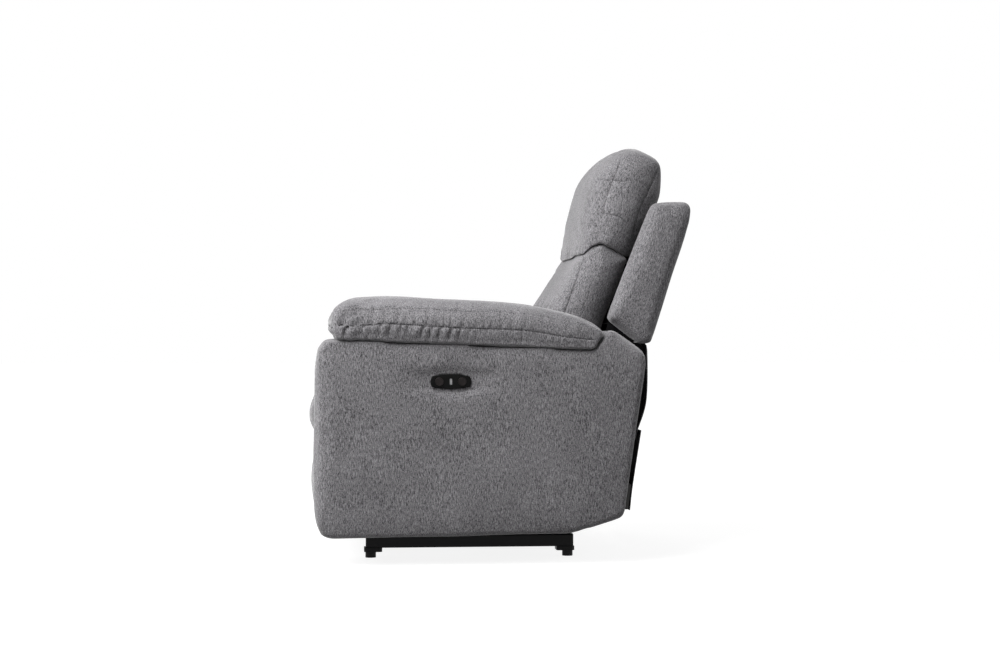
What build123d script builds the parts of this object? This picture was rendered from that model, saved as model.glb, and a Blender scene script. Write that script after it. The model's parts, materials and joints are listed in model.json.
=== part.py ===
"""Power recliner armchair: upholstered arms on a steel base, a seat carried by swing links,
a scissor footrest and a reclining back. Millimetres, front towards -Y, floor at z = 0."""

import os
from math import cos, radians, sin, tan

from build123d import *

os.makedirs("parts", exist_ok=True)

# ---------------------------------------------------------------- driving dimensions
# Upholstery
ARM_INNER = 262  # inner face of each arm
ARM_OUTER = 472  # outer face of each arm panel
PAD_OUTER = 482  # outer face of each arm pad
SEAT_HALF = 256  # half width of the seat cushion
BACK_HALF = 250  # half width of the lumbar cushion
HEAD_HALF = 246  # half width of the headrest cushion
WING_INNER, WING_OUTER = 254, 303
SEAM_GAP = 0.5  # between padded pieces that lie against each other

# Steel base
RAIL_X, RAIL_SIDE, RAIL_WALL = 263, 30, 2
RAIL_BOTTOM = 24
RAIL_FRONT, RAIL_REAR = -330, 174
FOOT_Y = (-321, 164)
FOOT_RADIUS = 13

# Plates and links lie in layers, counted outwards from the middle of the chair
SHEET = 4
LAYER_LONG = 234  # long and front footrest links
LAYER_MAIN = 240  # main and rear footrest links, footrest and back brackets
LAYER_SEAT = 246  # seat side plates
LAYER_SWING = 252  # swing links
LAYER_BASE = 258  # base plates
PIN_RADIUS, PIN_PLAY = 5, 0.2
PIN_REACH = 1  # by which a riveted pin stands out of the last plate it passes

# Swing links, standing between base and seat
SWING_LENGTH, SWING_ANGLE = 150, 11.2
SWING_FRONT, SWING_REAR = (-170, 88), (120, 88)

# Footrest scissor: crank pivots, link lengths and the two fixed directions
CRANK_A1 = (-297, 325)
CRANK_SPAN, CRANK_DIRECTION = 60, -28
LINK_LENGTH, LINK_TAIL = 230, 45
MAIN_CLOSED, LONG_DIRECTION = -60, 152
FOOTREST_TURN = 98

# Back
BACK_HINGE = (220, 340)

# Actuator under the seat
FORK_HEIGHT = 42  # from the torque tube's axis down to the drive pin
DRIVE_PIN_RADIUS = 5
FORK_PLAY = 5


def polar(start, length, angle):
    """Point at a length and an angle (degrees, in the side view) from a start point."""
    return (start[0] + length * cos(radians(angle)), start[1] + length * sin(radians(angle)))


SWING_LEAN = 90 - SWING_ANGLE
SWING_FRONT_TOP = polar(SWING_FRONT, SWING_LENGTH, SWING_LEAN)
SWING_REAR_TOP = polar(SWING_REAR, SWING_LENGTH, SWING_LEAN)
CRANK_A2 = polar(CRANK_A1, CRANK_SPAN, CRANK_DIRECTION)
PIVOT_B = polar(CRANK_A1, LINK_LENGTH, MAIN_CLOSED)
PIVOT_B2 = polar(CRANK_A2, LINK_LENGTH, MAIN_CLOSED)
PIVOT_E = polar(CRANK_A1, LINK_LENGTH + LINK_TAIL, MAIN_CLOSED)
PIVOT_C = polar(PIVOT_B, LINK_LENGTH, LONG_DIRECTION)
PIVOT_F = polar(PIVOT_E, LINK_LENGTH, LONG_DIRECTION)
DRIVE_PIN_START = (
    CRANK_A1[0] + FORK_HEIGHT * tan(radians(FOOTREST_TURN / 2)),
    CRANK_A1[1] - FORK_HEIGHT,
)
DRIVE_TRAVEL = 2 * FORK_HEIGHT * tan(radians(FOOTREST_TURN / 2))


def keep(piece, label):
    """Label a finished piece and write its STEP file."""
    piece.part.label = label
    export_step(piece.part, f"parts/{label}.step")


def padded_loft(corners, radii, stations):
    """Padded piece in the current part: side-view corners (y, z, dy, dz) with rounded radii,
    lofted through stations (x, share), where share is how much of (dy, dz) draws the corner in."""
    sections = []
    for x, share in stations:
        with BuildSketch(Plane.YZ.offset(x)) as section:
            with BuildLine():
                moved = [(y + share * dy, z + share * dz) for y, z, dy, dz in corners]
                FilletPolyline(*moved, radius=radii, close=True)
            make_face()
        sections.append(section.sketch)
    loft(sections, ruled=True)


def crowned(middle, half):
    """Stations (x, share) across a cushion: a gentle crown that turns down quickly at both ends."""
    reach = (1, 0.95, 0.8, 0.45)
    steps = [-u for u in reach] + [0] + list(reversed(reach))
    return [(middle + u * half, 0.25 * u**2 + 0.75 * u**14) for u in steps]


def link_outline(points, radius, holes):
    """Rounded link through its pivots, with a hole at each one."""
    with Locations(*points):
        Circle(radius)
    make_hull()
    with Locations(*holes):
        Circle(PIN_RADIUS + PIN_PLAY, mode=Mode.SUBTRACT)


def riveted_pins(points, start, end):
    """Pins at side-view points, riveted into the plate being built, from x = start to x = end."""
    with BuildSketch(Plane.YZ.offset(start)) as round_sections:
        with Locations(*points):
            Circle(PIN_RADIUS)
    extrude(round_sections.sketch, amount=end - start)


# ---------------------------------------------------------------- steel base
STEM_RADIUS, STEM_PLAY = 4, 0.2
FOOT_PLACES = [(side * RAIL_X, y) for side in (1, -1) for y in FOOT_Y]

with BuildPart() as base_rails:
    with BuildSketch(Plane.XZ.offset(-RAIL_FRONT)):
        with Locations((RAIL_X, RAIL_BOTTOM + RAIL_SIDE / 2), (-RAIL_X, RAIL_BOTTOM + RAIL_SIDE / 2)):
            RectangleRounded(RAIL_SIDE, RAIL_SIDE, 3)
            Rectangle(RAIL_SIDE - 2 * RAIL_WALL, RAIL_SIDE - 2 * RAIL_WALL, mode=Mode.SUBTRACT)
    extrude(amount=RAIL_FRONT - RAIL_REAR)
    with BuildSketch(Plane.XY.offset(RAIL_BOTTOM)):
        with Locations(*FOOT_PLACES):
            Circle(STEM_RADIUS + STEM_PLAY)
    extrude(amount=RAIL_WALL, mode=Mode.SUBTRACT)
keep(base_rails, "base_rails")

CAP_FLANGE, CAP_PLUG = 3, 4
with BuildPart() as rail_end_caps:
    inner = RAIL_SIDE - 2 * RAIL_WALL - 0.2
    for face_y, outwards in ((RAIL_FRONT, 1), (RAIL_REAR, -1)):
        for side in (1, -1):
            with BuildSketch(Plane.XZ.offset(-face_y)):
                with Locations((side * RAIL_X, RAIL_BOTTOM + RAIL_SIDE / 2)):
                    Rectangle(RAIL_SIDE, RAIL_SIDE)
                chamfer(vertices(), 2)
            extrude(amount=CAP_FLANGE * outwards)
            with BuildSketch(Plane.XZ.offset(-face_y)):
                with Locations((side * RAIL_X, RAIL_BOTTOM + RAIL_SIDE / 2)):
                    Rectangle(inner, inner)
            extrude(amount=-CAP_PLUG * outwards)
keep(rail_end_caps, "rail_end_caps")

CROSS_SIDE, FRONT_CROSS_Y, REAR_CROSS_Y = 25, -97, 140
cross_reach = 2 * RAIL_X - RAIL_SIDE
with BuildPart() as base_cross_tubes:
    with BuildSketch(Plane.YZ.offset(-cross_reach / 2)):
        with Locations(*[(y, RAIL_BOTTOM + CROSS_SIDE / 2) for y in (FRONT_CROSS_Y, REAR_CROSS_Y)]):
            RectangleRounded(CROSS_SIDE, CROSS_SIDE, 3)
            Rectangle(CROSS_SIDE - 4, CROSS_SIDE - 4, mode=Mode.SUBTRACT)
    extrude(amount=cross_reach)
keep(base_cross_tubes, "base_cross_tubes")

BRACKET_BOTTOM, BRACKET_WIDTH, BRACKET_LENGTH, BRACKET_SHIFT = 14, 46, 44, 6
bracket_middles = (FOOT_Y[0] + BRACKET_SHIFT, FOOT_Y[1] - BRACKET_SHIFT)
with BuildPart() as foot_brackets:
    with BuildSketch(Plane.XY.offset(BRACKET_BOTTOM)):
        with Locations(*[(side * (RAIL_X - 8), y) for side in (1, -1) for y in bracket_middles]):
            Rectangle(BRACKET_WIDTH, BRACKET_LENGTH)
        chamfer(vertices(), 5)
        with Locations(*FOOT_PLACES):
            Circle(STEM_RADIUS + STEM_PLAY, mode=Mode.SUBTRACT)
    extrude(amount=RAIL_BOTTOM - BRACKET_BOTTOM)
keep(foot_brackets, "foot_brackets")

GLIDE_HEIGHT, STEM_LENGTH = 13.5, 27
for side, side_name in ((1, "left"), (-1, "right")):
    for foot_y, end_name in zip(FOOT_Y, ("front", "rear")):
        with BuildPart(Plane.XY) as foot:
            with BuildSketch(Plane.XY):
                with Locations((side * RAIL_X, foot_y)):
                    Circle(FOOT_RADIUS)
            extrude(amount=GLIDE_HEIGHT)
            with BuildSketch(Plane.XY.offset(GLIDE_HEIGHT)):
                with Locations((side * RAIL_X, foot_y)):
                    Circle(STEM_RADIUS)
            extrude(amount=STEM_LENGTH)
        keep(foot, f"foot_{end_name}_{side_name}")

# Base plates stand on the rails and carry the swing links and the arms
with BuildPart() as base_plate_left:
    with BuildSketch(Plane.YZ.offset(LAYER_BASE)):
        with BuildLine():
            Polyline(
                (-325, 54), (175, 54), (175, 132), (145, 132), (100, 108), (50, 126), (-80, 126),
                (-150, 108), (-190, 108), (-280, 84), (-284, 110), (-325, 110), close=True
            )
        make_face()
        chamfer(vertices(), 5)
        with Locations((-15, 84)):
            SlotOverall(90, 22, mode=Mode.SUBTRACT)
    extrude(amount=SHEET)
    riveted_pins((SWING_FRONT, SWING_REAR), LAYER_SWING - PIN_REACH, LAYER_BASE)
keep(base_plate_left, "base_plate_left")

with BuildPart() as base_plate_right:
    mirror(base_plate_left.part, about=Plane.YZ)
keep(base_plate_right, "base_plate_right")

# ---------------------------------------------------------------- arms
SWITCH_Y, SWITCH_Z = -137, 435
SWITCH_LENGTH, SWITCH_HEIGHT, SWITCH_DEPTH = 96, 34, 9
SWITCH_END, SWITCH_BULGE = 25, 4  # height of the plate's ends, and how far they curve out
SWITCH_FACE = ARM_OUTER + 0.5
BUTTON_OFFSET, BUTTON_RADIUS, BUTTON_PLAY, BUTTON_TRAVEL = 27, 10, 0.3, 1.5

ARM_CORNERS = [
    (-456, 64, 12, 10), (150, 74, 0, 10), (277, 112, -10, 8), (333, 500, -14, -4),
    (241, 562, -6, -8), (207, 508, 0, 0), (-452, 534, 12, 0), (-455, 300, 14, 0),
]
ARM_RADII = [42, 150, 22, 26, 8, 4, 34, 300]
ARM_STATIONS = [(ARM_INNER, 0.5), (ARM_INNER + 14, 0), (ARM_OUTER - 26, 0), (ARM_OUTER - 8, 0.35),
                (ARM_OUTER, 1)]


def switch_outline(clearance):
    """Outline of the oval switch plate: two flat arcs between round ends."""
    half, end = SWITCH_LENGTH / 2 + clearance, SWITCH_END / 2 + clearance
    high, straight = SWITCH_HEIGHT / 2 + clearance, SWITCH_LENGTH / 2 + clearance - SWITCH_BULGE
    with BuildLine() as outline:
        ThreePointArc((-straight, end), (0, high), (straight, end))
        ThreePointArc((straight, end), (half, 0), (straight, -end))
        ThreePointArc((straight, -end), (0, -high), (-straight, -end))
        ThreePointArc((-straight, -end), (-half, 0), (-straight, end))
    make_face(outline.edges())


switch_plane = Plane(
    origin=(SWITCH_FACE - SWITCH_DEPTH, SWITCH_Y, SWITCH_Z), x_dir=(0, 1, 0), z_dir=(1, 0, 0)
)

with BuildPart() as arm_panel_right:
    padded_loft(ARM_CORNERS, ARM_RADII, [(-x, share) for x, share in ARM_STATIONS])
keep(arm_panel_right, "arm_panel_right")

with BuildPart() as arm_panel_left:
    mirror(arm_panel_right.part, about=Plane.YZ)
    with BuildSketch(switch_plane):
        switch_outline(0.3)
    extrude(amount=SWITCH_DEPTH + 1, mode=Mode.SUBTRACT)
keep(arm_panel_left, "arm_panel_left")

PAD_CORNERS = [
    (-425, 535, 14, 4), (-425, 628, 22, -20), (-290, 634, 0, -20), (40, 618, 0, -18),
    (176, 588, 0, -16), (236, 561, -8, -10), (207, 510, -8, 3),
]
PAD_RADII = [12, 36, 300, 300, 150, 10, 12]
with BuildPart() as arm_pad_left:
    padded_loft(PAD_CORNERS, PAD_RADII, crowned((ARM_INNER + PAD_OUTER) / 2, (PAD_OUTER - ARM_INNER) / 2))
    with BuildSketch(Plane.YZ.offset(ARM_INNER - 1)):
        with BuildLine():
            Polyline((-452, 534 + SEAM_GAP), (207, 508 + SEAM_GAP), (241 + SEAM_GAP, 562), (300, 562),
                     (300, 450), (-452, 450), close=True)
        make_face()
    extrude(amount=PAD_OUTER - ARM_INNER + 2, mode=Mode.SUBTRACT)
keep(arm_pad_left, "arm_pad_left")

with BuildPart() as arm_pad_right:
    mirror(arm_pad_left.part, about=Plane.YZ)
keep(arm_pad_right, "arm_pad_right")

# Switch plate with its charging port and the bores of the two buttons
PORT_WIDTH, PORT_HEIGHT = 5.2, 13.6
with BuildPart() as switch_plate:
    with BuildSketch(switch_plane):
        switch_outline(0)
    extrude(amount=SWITCH_DEPTH)
    chamfer(switch_plate.faces().sort_by(Axis.X)[-1].edges(), 1.2)
    with BuildSketch(switch_plane.offset(1.5)):
        with Locations((-BUTTON_OFFSET, 0), (BUTTON_OFFSET, 0)):
            Circle(BUTTON_RADIUS + BUTTON_PLAY)
    extrude(amount=SWITCH_DEPTH, mode=Mode.SUBTRACT)
    with BuildSketch(switch_plane.offset(1.5)):
        Rectangle(PORT_WIDTH, PORT_HEIGHT)
    extrude(amount=SWITCH_DEPTH, mode=Mode.SUBTRACT)
keep(switch_plate, "switch_plate")

with BuildPart() as usb_port:
    with BuildSketch(switch_plane.offset(1.5)):
        Rectangle(PORT_WIDTH - 0.1, PORT_HEIGHT - 0.1)
    extrude(amount=SWITCH_DEPTH - 2)
    with BuildSketch(switch_plane.offset(3)):
        Rectangle(PORT_WIDTH - 1.6, PORT_HEIGHT - 1.6)
        Rectangle(1.4, PORT_HEIGHT - 3, mode=Mode.SUBTRACT)
    extrude(amount=SWITCH_DEPTH, mode=Mode.SUBTRACT)
keep(usb_port, "usb_port")

for offset_y, label in ((-BUTTON_OFFSET, "button_open"), (BUTTON_OFFSET, "button_close")):
    with BuildPart() as button:
        with BuildSketch(switch_plane.offset(1.5 + BUTTON_TRAVEL + 0.5)):
            with Locations((offset_y, 0)):
                Circle(BUTTON_RADIUS)
        extrude(amount=SWITCH_DEPTH - 1.5 - BUTTON_TRAVEL - 0.5 + 2)
    keep(button, label)

# ---------------------------------------------------------------- rear of the base
REAR_RAIL_BOTTOM, REAR_RAIL_HEIGHT, REAR_RAIL_DEPTH, REAR_RAIL_Y = 112, 62, 20, 296
INLET_X, INLET_Z = -120, 143
with BuildPart() as rear_rail:
    with BuildSketch(Plane.YZ.offset(-ARM_INNER)):
        with BuildLine():
            Polyline(
                (REAR_RAIL_Y, REAR_RAIL_BOTTOM), (REAR_RAIL_Y + REAR_RAIL_DEPTH, REAR_RAIL_BOTTOM),
                (REAR_RAIL_Y + REAR_RAIL_DEPTH + 8, REAR_RAIL_BOTTOM + REAR_RAIL_HEIGHT),
                (REAR_RAIL_Y + 8, REAR_RAIL_BOTTOM + REAR_RAIL_HEIGHT), close=True
            )
        make_face()
    extrude(amount=2 * ARM_INNER)
    with BuildSketch(Plane.XZ.offset(-REAR_RAIL_Y + 10)):
        with Locations((INLET_X, INLET_Z)):
            Rectangle(24.4, 16.4)
    extrude(amount=-60, mode=Mode.SUBTRACT)
keep(rear_rail, "rear_rail")

FLAP_THICK = 4
with BuildPart() as rear_flap:
    with BuildSketch(Plane.YZ.offset(-ARM_INNER + 4)):
        with BuildLine():
            Polyline(
                (REAR_RAIL_Y + 20.5, REAR_RAIL_BOTTOM - 2), (REAR_RAIL_Y + 28.5, 174),
                (REAR_RAIL_Y + 50, 308), (REAR_RAIL_Y + 54, 308), (REAR_RAIL_Y + 32.5, 174),
                (REAR_RAIL_Y + 24.5, REAR_RAIL_BOTTOM - 2), close=True
            )
        make_face()
    extrude(amount=2 * ARM_INNER - 8)
    with BuildSketch(Plane.XZ.offset(-REAR_RAIL_Y)):
        with Locations((INLET_X, INLET_Z)):
            Rectangle(34, 26)
    extrude(amount=-60, mode=Mode.SUBTRACT)
keep(rear_flap, "rear_flap")

with BuildPart() as power_inlet:
    with BuildSketch(Plane.XZ.offset(-REAR_RAIL_Y - 2)):
        with Locations((INLET_X, INLET_Z)):
            Rectangle(24, 16)
    extrude(amount=-24)
    with BuildSketch(Plane.XZ.offset(-REAR_RAIL_Y - 26)):
        with Locations((INLET_X, INLET_Z)):
            Circle(5)
    extrude(amount=12, mode=Mode.SUBTRACT)
keep(power_inlet, "power_inlet")

# ---------------------------------------------------------------- swing links
for low, high, label in (
    (SWING_FRONT, SWING_FRONT_TOP, "front_swing_links"),
    (SWING_REAR, SWING_REAR_TOP, "rear_swing_links"),
):
    with BuildPart() as swing_links:
        with BuildSketch(Plane.YZ.offset(LAYER_SWING)):
            link_outline((low, high), 14, (low, high))
        extrude(amount=SHEET)
        mirror(about=Plane.YZ)
    keep(swing_links, label)

# ---------------------------------------------------------------- seat
SEAT_RAIL_TOP, SEAT_RAIL_BOTTOM = 385, 347
with BuildPart() as seat_side_plate_left:
    with BuildSketch(Plane.YZ.offset(LAYER_SEAT)):
        with BuildLine():
            Polyline(
                (-318, 368), (-318, 316), (-262, 276), (-165, 218), (172, 218), (242, 318),
                (242, 362), (200, 368), close=True
            )
        make_face()
        chamfer(vertices(), 8)
        with Locations((-160, 318), (-40, 318), (80, 318), (-60, 262), (110, 262)):
            Rectangle(84, 30, mode=Mode.SUBTRACT)
    extrude(amount=SHEET)
    riveted_pins((CRANK_A1, CRANK_A2, BACK_HINGE), LAYER_MAIN - PIN_REACH, LAYER_SEAT)
    riveted_pins((SWING_FRONT_TOP, SWING_REAR_TOP), LAYER_SEAT + SHEET, LAYER_SWING + SHEET + PIN_REACH)
keep(seat_side_plate_left, "seat_side_plate_left")

with BuildPart() as seat_side_plate_right:
    mirror(seat_side_plate_left.part, about=Plane.YZ)
keep(seat_side_plate_right, "seat_side_plate_right")

SEAT_FRAME_FRONT, SEAT_FRAME_REAR, SEAT_RAIL_WIDTH = -426, 134, 22
rail_middle = (SEAT_RAIL_TOP + SEAT_RAIL_BOTTOM) / 2
rail_height = SEAT_RAIL_TOP - SEAT_RAIL_BOTTOM
with BuildPart() as seat_cross_rails:
    with Locations((0, SEAT_FRAME_FRONT + SEAT_RAIL_WIDTH / 2, rail_middle),
                   (0, SEAT_FRAME_REAR - SEAT_RAIL_WIDTH / 2, rail_middle)):
        Box(2 * LAYER_SEAT, SEAT_RAIL_WIDTH, rail_height)
    fillet(seat_cross_rails.edges().filter_by(Axis.X), 3)
keep(seat_cross_rails, "seat_cross_rails")

with BuildPart() as seat_side_rails:
    rail_length = SEAT_FRAME_REAR - SEAT_FRAME_FRONT - 2 * SEAT_RAIL_WIDTH
    with Locations(*[
        (side * (LAYER_SEAT - SEAT_RAIL_WIDTH / 2), (SEAT_FRAME_FRONT + SEAT_FRAME_REAR) / 2, rail_middle)
        for side in (1, -1)
    ]):
        Box(SEAT_RAIL_WIDTH, rail_length, rail_height)
keep(seat_side_rails, "seat_side_rails")

# Sinuous springs, hung between the front and the rear rail
SPRING_PITCH, SPRING_SWING, SPRING_WIRE, SPRING_BENDS = 36, 22, 4, 14
spring_front = SEAT_FRAME_FRONT + SEAT_RAIL_WIDTH
spring_length = SEAT_FRAME_REAR - SPRING_WIRE - SEAT_RAIL_WIDTH - spring_front
with BuildPart() as seat_springs:
    with BuildSketch(Plane.XY.offset(SEAT_RAIL_TOP - 12)):
        for spring_x in (-168, -84, 0, 84, 168):
            with BuildLine():
                step = spring_length / SPRING_BENDS
                Polyline(*[
                    (spring_x + SPRING_SWING * (0.5 if i % 2 else -0.5), spring_front + 2 + i * step)
                    for i in range(SPRING_BENDS + 1)
                ])
            trace(line_width=SPRING_WIRE)
    extrude(amount=SPRING_WIRE)
keep(seat_springs, "seat_springs")

SEAT_CORNERS = [
    (-452, 289, 8, 6), (-478, 343, 14, 0), (-442, 474, 20, -24), (-330, 488, 0, -26),
    (122, 472, -6, -22), (122, 386, -6, 0), (-427, 386, 0, 0), (-427, 289, 0, 6),
]
SEAT_RADII = [9, 100, 46, 150, 30, 5, 3, 7]
with BuildPart() as seat_cushion:
    padded_loft(SEAT_CORNERS, SEAT_RADII, crowned(0, SEAT_HALF))
keep(seat_cushion, "seat_cushion")

# ---------------------------------------------------------------- actuator
ACTUATOR_Z = 258
ACTUATOR_HALF_WIDTH, ACTUATOR_HALF_HEIGHT = 15, 9
RAIL_START, RAIL_END = -372, -22
MOTOR_TUBE_Y = 54
LUG_X, LUG_PIN_Y, TUBE_SIDE = 20.2, 26, 20
with BuildPart() as motor_cross_tube:
    with BuildSketch(Plane.YZ.offset(-LAYER_SEAT)):
        with Locations((MOTOR_TUBE_Y, ACTUATOR_Z)):
            RectangleRounded(TUBE_SIDE, TUBE_SIDE, 3)
            Rectangle(TUBE_SIDE - 4, TUBE_SIDE - 4, mode=Mode.SUBTRACT)
    extrude(amount=2 * LAYER_SEAT)
    for lug_start in (-LUG_X - SHEET, LUG_X):
        with BuildSketch(Plane.YZ.offset(lug_start)):
            with Locations((LUG_PIN_Y, ACTUATOR_Z)):
                Circle(12)
            with Locations((MOTOR_TUBE_Y - TUBE_SIDE / 2, ACTUATOR_Z)):
                Rectangle(1, 24)
            make_hull()
        extrude(amount=SHEET)
    riveted_pins(((LUG_PIN_Y, ACTUATOR_Z),), -LUG_X, LUG_X)
keep(motor_cross_tube, "motor_cross_tube")

with BuildPart() as actuator_rail:
    with BuildSketch(Plane.XZ.offset(-RAIL_START)):
        with Locations((0, ACTUATOR_Z)):
            RectangleRounded(2 * ACTUATOR_HALF_WIDTH, 2 * ACTUATOR_HALF_HEIGHT, 3)
        with Locations((0, ACTUATOR_Z + ACTUATOR_HALF_HEIGHT)):
            Rectangle(8, 10, mode=Mode.SUBTRACT)
        for side in (1, -1):
            with Locations((side * ACTUATOR_HALF_WIDTH, ACTUATOR_Z)):
                Rectangle(5, 7, mode=Mode.SUBTRACT)
    extrude(amount=RAIL_START - RAIL_END)
keep(actuator_rail, "actuator_rail")

with BuildPart() as rail_hanger:
    with BuildSketch(Plane.XZ.offset(-RAIL_START)):
        with Locations((0, ACTUATOR_Z - ACTUATOR_HALF_HEIGHT - 3)):
            Rectangle(30, SEAT_RAIL_BOTTOM - ACTUATOR_Z + ACTUATOR_HALF_HEIGHT + 3,
                      align=(Align.CENTER, Align.MIN))
    extrude(amount=3)
    with BuildSketch(Plane.XY.offset(SEAT_RAIL_BOTTOM)):
        with Locations((0, RAIL_START - 3)):
            Rectangle(30, 50, align=(Align.CENTER, Align.MAX))
    extrude(amount=-3)
keep(rail_hanger, "rail_hanger")

GEAR_CASE_REAR = 40
with BuildPart() as gear_case:
    with BuildSketch(Plane.XZ.offset(-RAIL_END)):
        with Locations((0, ACTUATOR_Z)):
            Rectangle(40, 46)
        chamfer(vertices(), 6)
    extrude(amount=RAIL_END - GEAR_CASE_REAR)
    chamfer(gear_case.faces().sort_by(Axis.Y)[-1].edges(), 4)
    with BuildSketch(Plane.YZ.offset(-30)):
        with Locations((LUG_PIN_Y, ACTUATOR_Z)):
            Circle(PIN_RADIUS + PIN_PLAY)
    extrude(amount=60, mode=Mode.SUBTRACT)
keep(gear_case, "gear_case")

with BuildPart() as motor_housing:
    with BuildSketch(Plane.YZ.offset(20.2)):
        with Locations((-6, ACTUATOR_Z)):
            Circle(19)
    extrude(amount=10)
    with BuildSketch(Plane.YZ.offset(30.2)):
        with Locations((-6, ACTUATOR_Z)):
            Circle(25)
    extrude(amount=92)
keep(motor_housing, "motor_housing")

BLOCK_HALF = 18
with BuildPart() as drive_block:
    block_y, pin_z = DRIVE_PIN_START
    with BuildSketch(Plane.XZ.offset(-block_y + BLOCK_HALF)):
        with Locations((0, ACTUATOR_Z + 2)):
            Rectangle(38, 32)
        with Locations((0, ACTUATOR_Z)):
            Rectangle(30.6, 18.6, mode=Mode.SUBTRACT)
    extrude(amount=-2 * BLOCK_HALF)
    for ear_x in (11, -19):
        with BuildSketch(Plane.YZ.offset(ear_x)):
            with Locations((block_y, ACTUATOR_Z + 16)):
                Rectangle(24, 10)
            with Locations((block_y, pin_z)):
                Circle(12)
            with Locations((block_y, pin_z - 12)):
                Rectangle(24, 14)
            with Locations((block_y, ACTUATOR_Z)):
                Rectangle(60, 19, mode=Mode.SUBTRACT)
        extrude(amount=8)
    with BuildSketch(Plane.YZ.offset(-29)):
        with Locations((block_y, pin_z)):
            Circle(DRIVE_PIN_RADIUS)
    extrude(amount=58)
keep(drive_block, "drive_block")

# ---------------------------------------------------------------- footrest scissor
TUBE_RADIUS = 12
FORK_X, FORK_THICK = 20, 5
with BuildPart() as drive_tube:
    with BuildSketch(Plane.YZ.offset(-LAYER_MAIN)):
        with Locations(CRANK_A1):
            Circle(TUBE_RADIUS)
            Circle(TUBE_RADIUS - 2, mode=Mode.SUBTRACT)
    extrude(amount=2 * LAYER_MAIN)
    # the fork opens away from the tube and takes the drive pin between its prongs
    fork_plane = Plane(
        origin=(FORK_X, *CRANK_A1), z_dir=(1, 0, 0),
        x_dir=(0, sin(radians(FOOTREST_TURN / 2)), -cos(radians(FOOTREST_TURN / 2))),
    )
    with BuildSketch(fork_plane):
        Circle(TUBE_RADIUS + 6)
        with Locations((36, 0)):
            Rectangle(72, 34)
        Circle(TUBE_RADIUS - 1, mode=Mode.SUBTRACT)
        with Locations((56, 0)):
            Rectangle(46, 2 * (DRIVE_PIN_RADIUS + FORK_PLAY), mode=Mode.SUBTRACT)
        fillet(vertices().group_by(Axis((0, *CRANK_A1), fork_plane.x_dir))[-1], 3)
    extrude(amount=FORK_THICK)
    mirror(about=Plane.YZ)
keep(drive_tube, "drive_tube")

FOOTREST_LINKS = {  # layer, ends, end radius, bores, pins riveted in
    "main_links": (LAYER_MAIN, (CRANK_A1, PIVOT_E), 12, (CRANK_A1,), (PIVOT_B, PIVOT_E)),
    "rear_links": (LAYER_MAIN, (CRANK_A2, PIVOT_B2), 11, (CRANK_A2,), (PIVOT_B2,)),
    "long_links": (LAYER_LONG, (PIVOT_B2, PIVOT_C), 10, (PIVOT_B2, PIVOT_B, PIVOT_C), ()),
    "front_links": (LAYER_LONG, (PIVOT_E, PIVOT_F), 10, (PIVOT_E, PIVOT_F), ()),
}
for label, (layer, ends, radius, bores, pins) in FOOTREST_LINKS.items():
    with BuildPart() as links:
        with BuildSketch(Plane.YZ.offset(layer)):
            link_outline(ends, radius, bores)
        extrude(amount=SHEET)
        if pins:
            riveted_pins(pins, LAYER_LONG - PIN_REACH, LAYER_MAIN)
        mirror(about=Plane.YZ)
    keep(links, label)

BOARD_FRONT, BOARD_THICK = -413, 12
with BuildPart() as footrest_brackets:
    with BuildSketch(Plane.YZ.offset(LAYER_MAIN)):
        with Locations(PIVOT_C, PIVOT_F):
            Circle(12)
        with Locations((BOARD_FRONT + BOARD_THICK + 4, 248), (BOARD_FRONT + BOARD_THICK + 4, 172)):
            Circle(4)
        make_hull()
    extrude(amount=SHEET)
    riveted_pins((PIVOT_C, PIVOT_F), LAYER_LONG - PIN_REACH, LAYER_MAIN)
    with BuildSketch(Plane.XZ.offset(-BOARD_FRONT - BOARD_THICK)):
        with Locations((LAYER_MAIN + SHEET - 18, 210)):
            Rectangle(36, 84)
    extrude(amount=-3)
    mirror(about=Plane.YZ)
keep(footrest_brackets, "footrest_brackets")

FOOTREST_HALF = 252
with BuildPart() as footrest_board:
    with BuildSketch(Plane.XZ.offset(-BOARD_FRONT)):
        with Locations((0, 180)):
            RectangleRounded(2 * FOOTREST_HALF - 12, 196, 12)
    extrude(amount=-BOARD_THICK)
keep(footrest_board, "footrest_board")

FOOTREST_CORNERS = [
    (BOARD_FRONT - 0.3, 283, 0, -6), (-454, 284, 14, -8), (-464, 180, 16, 0), (-453, 76, 14, 8),
    (BOARD_FRONT - 0.3, 78, 0, 6),
]
FOOTREST_RADII = [4, 22, 260, 22, 4]
with BuildPart() as footrest_cushion:
    padded_loft(FOOTREST_CORNERS, FOOTREST_RADII, crowned(0, FOOTREST_HALF))
keep(footrest_cushion, "footrest_cushion")

# ---------------------------------------------------------------- back
BACK_TILT = 21.8
STILE_X, STILE_WIDTH, STILE_DEPTH = 206, 30, 36
back_plane = Plane(
    origin=(0, 185, 345), x_dir=(1, 0, 0),
    z_dir=(0, -cos(radians(BACK_TILT)), sin(radians(BACK_TILT))),
)
STILE_LENGTH = 538
with BuildPart() as back_stiles:
    with BuildSketch(back_plane):
        with Locations(*[(side * (STILE_X + STILE_WIDTH / 2), 0) for side in (1, -1)]):
            Rectangle(STILE_WIDTH, STILE_LENGTH, align=(Align.CENTER, Align.MIN))
    extrude(amount=-STILE_DEPTH)
keep(back_stiles, "back_stiles")

BACK_RAIL_HEIGHT, BACK_RAIL_DEPTH = 60, 24
with BuildPart() as back_cross_rails:
    with BuildSketch(back_plane):
        with Locations((0, BACK_RAIL_HEIGHT / 2), (0, STILE_LENGTH - BACK_RAIL_HEIGHT / 2)):
            Rectangle(2 * STILE_X, BACK_RAIL_HEIGHT)
    extrude(amount=-BACK_RAIL_DEPTH)
keep(back_cross_rails, "back_cross_rails")

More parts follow.
